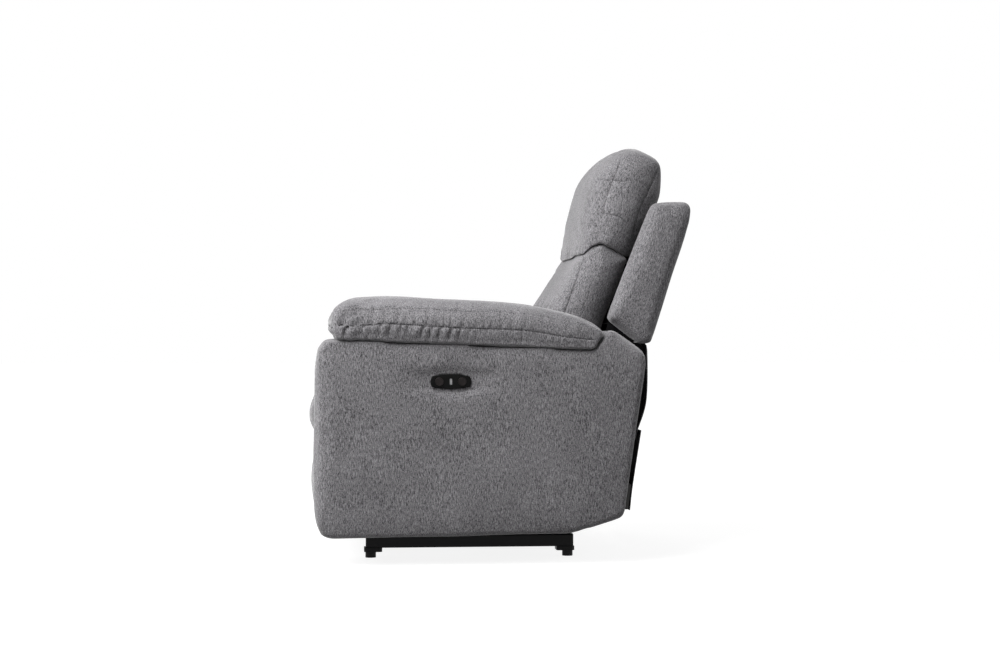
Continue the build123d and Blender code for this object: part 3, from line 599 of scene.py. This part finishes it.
def gather(piece, corners, towards, reach, height, pitch, seed=1, slant=0.0, fine=True):
    """Folds that start at a gathered seam and die out within reach on its side towards a direction:
    round backs with sharp creases between them. Broad folds need no finer mesh."""
    line = laid_on(piece, smooth_line(corners))
    if fine:
        refined(piece, [line], reach, FOLD_EDGE)
    points, normals = points_of(piece), normals_of(piece)
    near, away, place, along = near_line(points, line, reach)
    base = np.column_stack([np.interp(place, along, line[:, i]) for i in range(3)])
    side = (points[near] - base) @ np.array(towards, float)
    draw = np.random.default_rng(seed)
    knots = max(6, int(along[-1] / pitch))
    shift = np.interp(place, np.linspace(0, along[-1], knots), draw.uniform(-0.45, 0.45, knots))
    size = np.interp(place, np.linspace(0, along[-1], knots), draw.uniform(0.15, 1.0, knots))
    run = np.interp(place, np.linspace(0, along[-1], knots), draw.uniform(0.55, 1.0, knots))
    fold = np.abs(np.sin(math.pi * ((place + slant * away) / pitch + shift))) ** 0.7 - 0.6
    fade = ease(side, -0.002, 0.004) * np.clip(1 - away / (run * reach), 0, 1) ** 0.8
    ends = np.clip(np.minimum(place, along[-1] - place) / FOLD_END, 0, 1)
    points[near] += normals[near] * (height * size * fold * fade * ends)[:, None]
    move_to(piece, points)


def cover(piece, body, share, *replaced, cloth=cover_cloth):
    """Cloth, body, filling share (not used) and the CAD solids that a finished cover stands for."""
    piece.data.materials.clear()
    piece.data.materials.append(cloth)
    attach(piece, body)
    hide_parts(*replaced)


def mirrored(piece, name):
    """The same cover made for the chair's other side."""
    other = added(name, piece.data.copy())
    other.data.transform(Matrix.Scale(-1, 4, Vector((1, 0, 0))))
    other.data.flip_normals()
    return other


arm_low, arm_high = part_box("arm_panel_right")
arm_inner, arm_outer = arm_high.x, arm_low.x
ARM_TOP = [(-0.452, 0.534), (0.207, 0.508)]
ARM_REAR = [(0.206, 0.09), (0.281, 0.118), (0.297, 0.272), (0.312, 0.39), (0.326, 0.47)]
arm_right = skin_of("arm_panel_right", "arm_cover_right", voxel=0.008)
fill(arm_right, tuck=0.0005, cap=0.004, press=0.0008,
     held=lambda p, n: np.maximum.reduce([
         ease(p[:, 0], arm_inner - 0.02, arm_inner - 0.005),
         ease(p[:, 2], arm_low.z + 0.02, arm_low.z + 0.008),
         beside(p, ARM_REAR, 0.016), beside(p, ARM_TOP, 0.012) * ease(n[:, 2], 0.3, 0.7)]))
rumple(arm_right, height=0.0022, size=0.16, seed=1)
hem = [(arm_outer + 0.004, y, z) for y, z in ((-0.4, 0.07), (-0.1, 0.07), (0.15, 0.078), (0.26, 0.115))]
gather(arm_right, hem, (0, 0, 1), reach=0.1, height=0.003, pitch=0.055, seed=11, slant=0.15, fine=False)
arm_left = mirrored(arm_right, "arm_cover_left")
cover(arm_right, "base", 0.8, "arm_panel_right")

# The cover of the left arm is drawn in round the hand switch, and cut and tucked behind its plate.
# The plate's outline is nearly a superellipse, which narrows a little towards its ends.
DIMPLE, DIMPLE_REACH, TUCK_INSET, TUCK_DEPTH, FACE_DEPTH = 0.0075, 0.018, 0.003, 0.007, 0.01
SQUARENESS, NARROWING = 5, 0.25
switch_low, switch_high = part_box("switch_plate")
middle, half = (switch_low + switch_high) / 2, (switch_high - switch_low) / 2
points = points_of(arm_left)
outside = points[:, 0] > switch_low.x - FACE_DEPTH
across = np.abs(points[:, 1] - middle.y) / half.y
rise = np.abs(points[:, 2] - middle.z) / (half.z * (1 - NARROWING * np.clip(across, 0, 1) ** 4))
off = (np.maximum(across ** SQUARENESS + rise ** SQUARENESS, 1e-9) ** (1 / SQUARENESS) - 1) * half.z
points[:, 0] -= np.where(outside, DIMPLE * np.exp(-(np.maximum(off, 0) / DIMPLE_REACH) ** 2), 0)
behind = outside & (off < -TUCK_INSET)
points[behind, 0] = np.minimum(points[behind, 0], switch_low.x - TUCK_DEPTH)
move_to(arm_left, points)
cover(arm_left, "base", 0.8, "arm_panel_left")

# -------- arm pads
# Stuffed pads sewn from a top, a side band and a lower band that is gathered at its front end,
# then fixed along the tops of the arms. They draw in under the front end.
LOWER_SEAM = [(-0.421, 0.563), (-0.367, 0.565), (-0.281, 0.57), (-0.183, 0.564), (-0.08, 0.559),
              (0.0, 0.557), (0.066, 0.551), (0.124, 0.541), (0.175, 0.535), (0.205, 0.533)]
UPPER_SEAM = [(-0.406, 0.598), (-0.302, 0.604), (-0.215, 0.606), (-0.115, 0.6), (-0.018, 0.597),
              (0.066, 0.59), (0.13, 0.578)]
BAND_JOINS = ((-0.167, 0.562, 0.527), (-0.079, 0.559, 0.522), (0.03, 0.555, 0.515))
pad_low, pad_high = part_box("arm_pad_left")
UNDERCUT = 0.01
pad_left = skin_of("arm_pad_left", "arm_pad_cover_left", voxel=0.007)
fill(pad_left, tuck=0.004, cap=0.008,
     held=lambda p, n: beside(p, ARM_TOP + [(0.24, 0.562)], 0.014) * ease(-n[:, 2], 0.3, 0.7), press=0.002)
rumple(pad_left, height=0.0015, size=0.09, seed=8)
points = points_of(pad_left)
points[:, 1] += UNDERCUT * ease(points[:, 2], 0.56, 0.536) * ease(points[:, 1], -0.37, -0.42)
move_to(pad_left, points)
lower_seams, upper_seams = on_sides(pad_left, LOWER_SEAM), on_sides(pad_left, UPPER_SEAM)
joins = [seam for y, top, bottom in BAND_JOINS
         for seam in on_sides(pad_left, [(y, z) for z in (top, (top + bottom) / 2, bottom)])]
front_seam = [(x, pad_low.y, 0.565) for x in np.linspace(pad_low.x + 0.03, pad_high.x - 0.03, 5)]
for number, lower in enumerate(lower_seams):
    gather(pad_left, lower[:5], (0, 0, -1), reach=0.044, height=0.016, pitch=0.024, seed=3 + number,
           slant=0.2)
    gather(pad_left, lower[6:], (0, 0, -1), reach=0.032, height=0.006, pitch=0.02, seed=14 + number,
           slant=-0.3)
    gather(pad_left, lower[1:7], (0, 0, 1), reach=0.042, height=0.006, pitch=0.024, seed=5 + number)
gather(pad_left, front_seam, (0, 0, -1), reach=0.042, height=0.008, pitch=0.022, seed=6)
sew(pad_left, lower_seams + [front_seam], depth=0.0042, width=0.0013, pillow=0.0012, spread=0.006)
sew(pad_left, upper_seams, depth=0.0014, width=0.0011, pillow=0.0008, spread=0.008, pucker=0.001, seed=2)
sew(pad_left, joins, depth=0.0025, width=0.0012, pillow=0.0008, spread=0.005, pucker=0)
pad_right = mirrored(pad_left, "arm_pad_cover_right")
cover(pad_left, "base", 0.7, "arm_pad_left")
cover(pad_right, "base", 0.7, "arm_pad_right")

# -------- hand switch
# A glossy moulded plate let into the left arm's outer face, with a white port in its middle and a
# push button with a dished cap on either side of it. The port's pale colour is partly its white
# plastic and partly a painted glint.
switch_gloss = two_toned("switch_plastic", BLACK, (0.006, 0.006, 0.006), roughness=0.25, patch=30,
                         grain=1800, depth=0.00002, gloss=0.06)
# The port's pale grey is partly its white plastic and partly a painted glint.
pale_port_and_glint = two_toned("port_plastic_and_painted_glint", (0.42, 0.42, 0.43), (0.58, 0.58, 0.59), roughness=0.35,
                       patch=200, grain=1800, depth=0.00002)
dress(switch_gloss, "switch_plate")
dress(pale_port_and_glint, "usb_port")
cap_plastic = two_toned("button_plastic", (0.0045, 0.0035, 0.0035), (0.01, 0.007, 0.007), roughness=0.3,
                        patch=60, grain=2000, depth=0.00003, gloss=0.16)
DISH, CAP_ROUNDING = 0.0012, 0.0008
for node in ("button_open", "button_close"):
    low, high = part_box(node)
    middle, radius, tall = (low + high) / 2, (high.y - low.y) / 2, high.x - low.x
    profile = [(0, 0), (radius, 0), (radius, tall - CAP_ROUNDING),
               (radius - 0.3 * CAP_ROUNDING, tall - 0.2 * CAP_ROUNDING), (radius - CAP_ROUNDING, tall),
               (0.8 * radius, tall - 0.1 * DISH), (0.5 * radius, tall - 0.7 * DISH), (0, tall - DISH)]
    turned = bmesh.new()
    line = [turned.verts.new((low.x + out, middle.y, middle.z + along)) for along, out in profile]
    edges = [turned.edges.new(pair) for pair in zip(line, line[1:])]
    bmesh.ops.spin(turned, geom=line + edges, cent=middle, axis=(1, 0, 0), angle=2 * math.pi, steps=48)
    bmesh.ops.remove_doubles(turned, verts=turned.verts, dist=1e-5)
    bmesh.ops.recalc_face_normals(turned, faces=turned.faces)
    mesh = bpy.data.meshes.new(node + "_cap")
    turned.to_mesh(mesh)
    turned.free()
    mesh.materials.append(cap_plastic)
    cap = added(node + "_cap", mesh)
    smooth(cap)
    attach(cap, node)
    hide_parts(node)

# -------- rear of the base
# A pine rail, coloured near black, joins the two arms at the back and takes the power inlet. A cloth
# flap is tacked to it and stands up behind the chair, grey outside with a black backing, whose black
# also paints the deep shade on its inner face.


def pine(name, dark, light):
    """Planed softwood with its grain along X."""
    material, nodes, links, shader, place = finish(name, 0.62)
    grain = speckle(nodes, links, place, scale=160, stretch=(0.05, 1, 1), detail=4)
    board = speckle(nodes, links, place, scale=12, stretch=(0.2, 1, 1), detail=2)
    tone = weighed(nodes, links, [(0.6, grain), (0.4, board)])
    links.new(toned(nodes, links, tone, [(0.35, dark), (0.65, light)]), shader.inputs["Base Color"])
    relief(nodes, links, shader, grain, 0.0003)
    return material


dress(black_plastic, "power_inlet")
# Black backing cloth; its black is also painted shade for the deep gaps behind the arms.
backing_and_shade = two_toned("black_backing_and_painted_shade", BLACK, (0.009, 0.009, 0.01), roughness=0.95, patch=40,
                    grain=1200, depth=0.0003, gloss=0.1)
# Pine coloured near black, for the rear rail, the back frame and the footrest board.
near_black_pine = pine("pine_coloured_near_black", BLACK, (0.012, 0.011, 0.01))
dress(near_black_pine, "rear_rail")


def hung_cloth(name, body, node, profile, half_width, ripple, seed):
    """Cloth across the chair on a side-view profile of (y, z), grey behind and black in front, with
    upright ripples that grow from the profile's first point to its last."""
    across, thickness, ripple_turns = 120, 0.002, (3, 5, 8)
    rows = smooth_line([(0, y, z) for y, z in profile], step=0.01)
    draw = np.random.default_rng(seed)
    places = np.linspace(-1, 1, across + 1)
    waves = sum(draw.uniform(0.4, 1) * np.sin(places * math.pi * turns + draw.uniform(0, 6))
                for turns in ripple_turns) / 3
    vertices = [(half_width * u, y + ripple * wave * (i / (len(rows) - 1)), z)
                for i, (_, y, z) in enumerate(rows) for u, wave in zip(places, waves)]
    row = across + 1
    faces = [(start, start + 1, start + row + 1, start + row)
             for i in range(len(rows) - 1) for start in range(i * row, i * row + across)]
    mesh = bpy.data.meshes.new(name)
    mesh.from_pydata(vertices, [], faces)
    if mesh.polygons[0].normal.y <= 0:
        mesh.flip_normals()
    mesh.materials.append(cover_cloth)
    # The black backing on the front face is also painted shade for the gap in front of it.
    mesh.materials.append(backing_and_shade)
    cloth = added(name, mesh)
    smooth(cloth)
    wall = cloth.modifiers.new("wall", "SOLIDIFY")
    wall.thickness, wall.offset, wall.material_offset = thickness, -1, 1
    plain_mesh(cloth)
    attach(cloth, body)
    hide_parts(node)


# The flap's sides are tucked in behind the arm covers by FLAP_EASE.
FLAP_EASE, FLAP_FOOT, FLAP_STEP, FLAP_HEAD = 0.006, -0.0035, 0.004, -0.001
flap_low, flap_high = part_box("rear_flap")
rail_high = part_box("rear_rail")[1]
hung_cloth("rear_flap_cloth", "base", "rear_flap",
           [(rail_high.y + FLAP_FOOT, flap_low.z), (rail_high.y + FLAP_STEP, rail_high.z),
            (flap_high.y + FLAP_HEAD, flap_high.z)],
           half_width=flap_high.x + FLAP_EASE, ripple=0.0012, seed=21)

# -------- links, plates and drive
# Pressed links and plates swing between the base and the seat and fold the footrest. They are
# painted black and turn on bright rivets. A gear motor pushes a block along an aluminium rail.
dress(powder_coat, "front_swing_links", "rear_swing_links", "seat_side_plate_left", "seat_side_plate_right",
      "motor_cross_tube", "rail_hanger", "drive_tube", "main_links", "rear_links", "long_links",
      "front_links", "footrest_brackets", "back_brackets")
dress(black_plastic, "gear_case", "motor_housing", "drive_block")
dress(two_toned("aluminium", (0.5, 0.5, 0.51), (0.72, 0.72, 0.73), roughness=0.35, metallic=1, patch=30,
                grain=900, depth=0.00005, stretch=(1, 0.05, 1)), "actuator_rail")

pivot = {joint["name"]: Vector(joint["pos_m"]) for joint in frame["joints"] if joint.get("pos_m")}
crank, main_b = pivot["footrest_open"], pivot["long_link_turn"]
main_e, bracket_c = pivot["front_link_turn"], pivot["footrest_turn"]
rear_b = main_b + pivot["rear_link_turn"] - crank
bracket_f = bracket_c + main_e - main_b
RIVET_RADIUS, INNER_HEIGHT, OUTER_HEIGHT, STACK_THICKNESS = 0.008, 0.003, 0.0014, 0.011
outer_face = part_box("main_links")[1].x
inner_end = outer_face - STACK_THICKNESS
for body, centres in (("main_link", (main_b, main_e)), ("rear_link", (rear_b,)),
                      ("footrest", (bracket_c, bracket_f))):
    for end, x, way, height in (("inner", inner_end, -1, INNER_HEIGHT),
                                ("outer", outer_face, 1, OUTER_HEIGHT)):
        heads(f"{body}_{end}_rivets", body,
              [((side * x, c.y, c.z), (way * side, 0, 0)) for side in (1, -1) for c in centres],
              radius=RIVET_RADIUS, height=height)

# -------- seat frame and springs
# A frame of plain pine boards, with five sinuous springs of hard round wire that are bent to and
# fro and clipped between its front and its rear rail.
dress(pine("pine", (0.36, 0.23, 0.12), (0.62, 0.45, 0.27)), "seat_cross_rails", "seat_side_rails")
SPRING_COUNT, SPRING_BENDS, WIRE_RADIUS, SPRING_SWING, SPRING_OVERHANG = 5, 14, 0.002, 0.013, 0.006
POINTS_PER_BEND = 12
spring_low, spring_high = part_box("seat_springs")
spring_pitch = (spring_high.x - spring_low.x - 2 * SPRING_SWING) / (SPRING_COUNT - 1)
tree, nodes, link, given, made = new_tree(
    "sinuous_springs", (("Line", "Geometry"), ("Swing", "Float"), ("Bends", "Float"), ("Length", "Float"),
                        ("Wire radius", "Float"), ("Count", "Int"), ("Pitch", "Float")), "Springs")


def sum_node(operation, a, b):
    """Math node in the springs' tree over two values or sockets."""
    node = nodes.new("ShaderNodeMath")
    node.operation = operation
    for socket, value in zip(node.inputs, (a, b)):
        if isinstance(value, (int, float)):
            socket.default_value = value
        else:
            link(value, socket)
    return node.outputs[0]


turns = sum_node("DIVIDE", nodes.new("GeometryNodeInputIndex").outputs[0], POINTS_PER_BEND)
to_and_fro = sum_node("SINE", sum_node("MULTIPLY", turns, math.pi), 0)
back_and_forth = sum_node("SINE", sum_node("MULTIPLY", turns, 2 * math.pi), 0)
sideways = sum_node("MULTIPLY", to_and_fro, given.outputs["Swing"])
overhang = sum_node("MULTIPLY", back_and_forth, SPRING_OVERHANG)
steady = sum_node("MULTIPLY", sum_node("DIVIDE", turns, given.outputs["Bends"]), given.outputs["Length"])
forwards = sum_node("ADD", steady, overhang)
place = nodes.new("ShaderNodeCombineXYZ")
link(sideways, place.inputs["X"])
link(forwards, place.inputs["Y"])
wire_line, moved = nodes.new("GeometryNodeMeshLine"), nodes.new("GeometryNodeSetPosition")
link(sum_node("ADD", sum_node("MULTIPLY", given.outputs["Bends"], POINTS_PER_BEND), 1),
     wire_line.inputs["Count"])
link(wire_line.outputs["Mesh"], moved.inputs["Geometry"])
link(place.outputs[0], moved.inputs["Position"])
curve, ring = nodes.new("GeometryNodeMeshToCurve"), nodes.new("GeometryNodeCurvePrimitiveCircle")
wire = nodes.new("GeometryNodeCurveToMesh")
ring.inputs["Resolution"].default_value = 8
link(given.outputs["Wire radius"], ring.inputs["Radius"])
link(moved.outputs["Geometry"], curve.inputs["Mesh"])
link(curve.outputs["Curve"], wire.inputs["Curve"])
link(ring.outputs["Curve"], wire.inputs["Profile Curve"])
wire.inputs["Fill Caps"].default_value = True
row, spread = nodes.new("GeometryNodeMeshLine"), nodes.new("GeometryNodeInstanceOnPoints")
step = nodes.new("ShaderNodeCombineXYZ")
link(given.outputs["Count"], row.inputs["Count"])
link(given.outputs["Pitch"], step.inputs["X"])
link(step.outputs[0], row.inputs["Offset"])
link(row.outputs["Mesh"], spread.inputs["Points"])
link(wire.outputs["Mesh"], spread.inputs["Instance"])
end_tree(nodes, link, spread.outputs["Instances"], zinc, made.inputs["Springs"])

springs = added("sinuous_springs", bpy.data.meshes.new("sinuous_springs"))
grown(springs, tree, {"Swing": SPRING_SWING, "Bends": float(SPRING_BENDS),
                      "Length": spring_high.y - spring_low.y,
                      "Wire radius": WIRE_RADIUS, "Count": SPRING_COUNT, "Pitch": spring_pitch})
first_end = (spring_low.x + SPRING_SWING, spring_low.y, (spring_low.z + spring_high.z) / 2)
springs.data.transform(Matrix.Translation(first_end))
smooth(springs)
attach(springs, "seat")
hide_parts("seat_springs")

# -------- seat cushion
# A foam block over the springs, wrapped in wadding. The top panel is sewn to side bands, rolls
# over the front edge and is drawn in along one cross seam.
seat_low, seat_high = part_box("seat_cushion")
seat_half = seat_high.x
FRONT_FREE, FRONT_HELD = 0.405, 0.392
seat_cover = skin_of("seat_cushion", "seat_cover", voxel=0.008)
fill(seat_cover, tuck=0.004, cap=0.013,
     held=lambda p, n: np.maximum(
         ease(p[:, 2], seat_low.z + 0.03, seat_low.z + 0.015),
         ease(p[:, 2], FRONT_FREE, FRONT_HELD) * ease(p[:, 1], seat_low.y + 0.03, seat_low.y + 0.06)))
rumple(seat_cover, height=0.003, size=0.14, seed=2)
side_seams = [[(side * (seat_half - 0.004), y, z) for y, z in
               ((0.12, 0.452), (-0.05, 0.458), (-0.25, 0.465), (-0.36, 0.463), (-0.425, 0.44),
                (-0.448, 0.4), (-0.456, 0.35), (-0.446, 0.31))] for side in (1, -1)]
cross = [(x, -0.375, 0.49) for x in np.linspace(-seat_half + 0.02, seat_half - 0.02, 7)]
gather(seat_cover, cross, (0, -1, 0), reach=0.07, height=0.005, pitch=0.045, seed=7, fine=False)
gather(seat_cover, cross, (0, 1, 0), reach=0.06, height=0.004, pitch=0.05, seed=8, fine=False)
sew(seat_cover, side_seams + [cross], depth=0.004, width=0.002, pillow=0.005, spread=0.014, pucker=0.0012)
cover(seat_cover, "seat", 0.8, "seat_cushion")

# -------- footrest
# A pine board coloured near black, with foam under a cover that is pulled round its edges and
# stapled behind.
dress(near_black_pine, "footrest_board")
FOOT_RISE = 0.012
foot_low, foot_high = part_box("footrest_cushion")
foot_cover = skin_of("footrest_cushion", "footrest_cover", voxel=0.006)
fill(foot_cover, tuck=0.003, cap=0.009,
     held=lambda p, n: ease(p[:, 1], foot_high.y - 0.014, foot_high.y - 0.004))
rumple(foot_cover, height=0.0018, size=0.12, seed=3)
points = points_of(foot_cover)
points[:, 2] += FOOT_RISE * ease(points[:, 2], foot_high.z - 0.06, foot_high.z - 0.01)
move_to(foot_cover, points)
foot_seams = [[(side * (foot_high.x - 0.012), foot_low.y + 0.01, z) for z in (0.095, 0.14, 0.18, 0.22, 0.265)]
              for side in (1, -1)]
sew(foot_cover, foot_seams, depth=0.003, width=0.0016, pillow=0.002, spread=0.009)
cover(foot_cover, "footrest", 0.7, "footrest_cushion")

# -------- back frame
# Pine stiles and rails, coloured near black, with woven elastic webbing stretched across them, closed
# at the sides and below with black backing, whose black also paints the shade in the gaps there.
dress(near_black_pine, "back_stiles", "back_cross_rails")
strap_weave = two_toned("elastic_webbing", (0.015, 0.015, 0.016), (0.05, 0.05, 0.052), roughness=0.85,
                        patch=500, grain=700, depth=0.0004, stretch=(0.1, 1, 1))
STRAP_SAG, STRAP_CUTS, LONG_EDGE = 0.006, 24, 0.3
SAG_WAY = Vector((0, 0.93, -0.37))
strap_mesh = parts["back_webbing"].data.copy()
straps_shape = bmesh.new()
straps_shape.from_mesh(strap_mesh)
bmesh.ops.remove_doubles(straps_shape, verts=straps_shape.verts, dist=1e-5)
long_edges = [edge for edge in straps_shape.edges
              if abs(edge.verts[0].co.x - edge.verts[1].co.x) > LONG_EDGE]
bmesh.ops.subdivide_edges(straps_shape, edges=long_edges, cuts=STRAP_CUTS, use_grid_fill=True)
strap_half = max(vertex.co.x for vertex in straps_shape.verts)
for vertex in straps_shape.verts:
    vertex.co += STRAP_SAG * (1 - (vertex.co.x / strap_half) ** 2) * SAG_WAY
straps_shape.to_mesh(strap_mesh)
straps_shape.free()
straps = added("elastic_straps", strap_mesh)
strap_mesh.materials.clear()
strap_mesh.materials.append(strap_weave)
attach(straps, "back")
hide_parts("back_webbing")
# The linings' black backing is also painted shade for the gaps between the back and the arms.
dress(backing_and_shade, "back_lining_left", "back_lining_right")

skirt_low, skirt_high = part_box("back_skirt")
hung_cloth("back_skirt_cloth", "back", "back_skirt",
           [(0.356, 0.526), (0.3655, 0.505), (0.3635, 0.382), (0.3415, 0.308), (0.3355, skirt_low.z)],
           half_width=skirt_high.x, ripple=0.0, seed=22)

# -------- back cushions
# Two bags of fibre sewn one above the other: a lumbar cushion and a headrest that rolls over the
# top. Each side is pieced from small panels, and the cloth is gathered where the two meet.
BACK_LEAN = math.radians(-12)
back_cloth = melange_cloth("grey_melange_cloth_back", DARK_YARN, LIGHT_YARN, BACK_LEAN)
VALLEY = [(0.191, 0.727), (0.216, 0.758), (0.238, 0.778), (0.262, 0.776), (0.33, 0.738)]
lumbar_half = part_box("lumbar_cushion")[1].x
lumbar_cover = skin_of("lumbar_cushion", "lumbar_cover", voxel=0.007)
rounded(lumbar_cover, reach=0.085, share=0.22, low=0.49, high=0.74)
fill(lumbar_cover, tuck=0.001, cap=0.01,
     held=lambda p, n: np.maximum(ease(p[:, 2], 0.505, 0.49), beside(p, VALLEY, 0.016)), press=0.0015)
rumple(lumbar_cover, height=0.002, size=0.13, seed=4)
low_seam = [(x, 0.097, 0.612) for x in np.linspace(-lumbar_half + 0.01, lumbar_half - 0.01, 7)]
gather(lumbar_cover, low_seam, (0, 0, 1), reach=0.055, height=0.01, pitch=0.026, seed=9)
gather(lumbar_cover, low_seam, (0, 0, -1), reach=0.04, height=0.005, pitch=0.03, seed=10)
LUMBAR_SEAM = ((0.219, 0.765), (0.209, 0.74), (0.2, 0.715), (0.189, 0.681), (0.174, 0.641),
               (0.163, 0.61), (0.15, 0.58))
sew(lumbar_cover, on_sides(lumbar_cover, LUMBAR_SEAM) + [low_seam], depth=0.0042, width=0.0015, pillow=0.002,
    spread=0.01)
cover(lumbar_cover, "back", 0.85, "lumbar_cushion", cloth=back_cloth)

head_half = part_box("headrest_cushion")[1].x
head_cover = skin_of("headrest_cushion", "headrest_cover", voxel=0.007)
rounded(head_cover, reach=0.095, share=0.26, low=0.745)
fill(head_cover, tuck=-0.002, cap=0.008, held=lambda p, n: beside(p, VALLEY, 0.018), press=0.0015)
rumple(head_cover, height=0.002, size=0.13, seed=5)
HEAD_SEAMS = (
    ((0.306, 0.99), (0.292, 0.955), (0.275, 0.915), (0.265, 0.885), (0.258, 0.858), (0.254, 0.835)),
    ((0.25, 0.85), (0.274, 0.844), (0.299, 0.836), (0.324, 0.814)),
    ((0.249, 0.935), (0.269, 0.931), (0.299, 0.928), (0.319, 0.927)),
    ((0.401, 0.962), (0.389, 0.937), (0.371, 0.899), (0.351, 0.856), (0.341, 0.821), (0.336, 0.79)),
)
lip = [(x, 0.196, 0.742) for x in np.linspace(-head_half + 0.01, head_half - 0.01, 7)]
gather(head_cover, lip, (0, 0, 1), reach=0.05, height=0.005, pitch=0.03, seed=12)
for number, seam in enumerate(on_sides(head_cover, [(y, z + 0.006) for y, z in VALLEY])):
    gather(head_cover, seam, (0, 0, 1), reach=0.04, height=0.006, pitch=0.016, seed=40 + number)
sew(head_cover, [seam for corners in HEAD_SEAMS for seam in on_sides(head_cover, corners)],
    depth=0.0036, width=0.0014, pillow=0.0016, spread=0.009, pucker=0.001, seed=30)
cover(head_cover, "back", 0.85, "headrest_cushion", cloth=back_cloth)

# -------- back shell
# Two side wings and a rear panel of hardboard under thin foam. Each wing's cover has a seam down
# its outer face near the rear edge, and the panel's is drawn in between the wings.
WING_SEAM = ((0.4565, 0.85), (0.451, 0.82), (0.423, 0.74), (0.394, 0.65), (0.362, 0.55))
wing_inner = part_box("back_wing_left")[0].x
wing_left = skin_of("back_wing_left", "wing_cover_left", voxel=0.006)
fill(wing_left, tuck=-0.001, cap=0.007,
     held=lambda p, n: ease(p[:, 0], wing_inner + 0.008, wing_inner + 0.003))
rumple(wing_left, height=0.0015, size=0.1, seed=6)
sew(wing_left, on_sides(wing_left, WING_SEAM, (1,)),
    depth=0.001, width=0.0014, pillow=0.001, spread=0.006, pucker=0.0004)
wing_right = mirrored(wing_left, "wing_cover_right")
cover(wing_left, "back", 0.7, "back_wing_left", cloth=back_cloth)
cover(wing_right, "back", 0.7, "back_wing_right", cloth=back_cloth)
panel_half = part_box("back_panel")[1].x
panel_cover = skin_of("back_panel", "back_panel_cover", voxel=0.008)
fill(panel_cover, tuck=0.001, cap=0.006,
     held=lambda p, n: np.maximum(
         ease(np.abs(p[:, 0]), panel_half - 0.012, panel_half - 0.004), ease(p[:, 1], 0.44, 0.3)))
rumple(panel_cover, height=0.0015, size=0.12, seed=7)
cover(panel_cover, "back", 0.5, "back_panel", cloth=back_cloth)
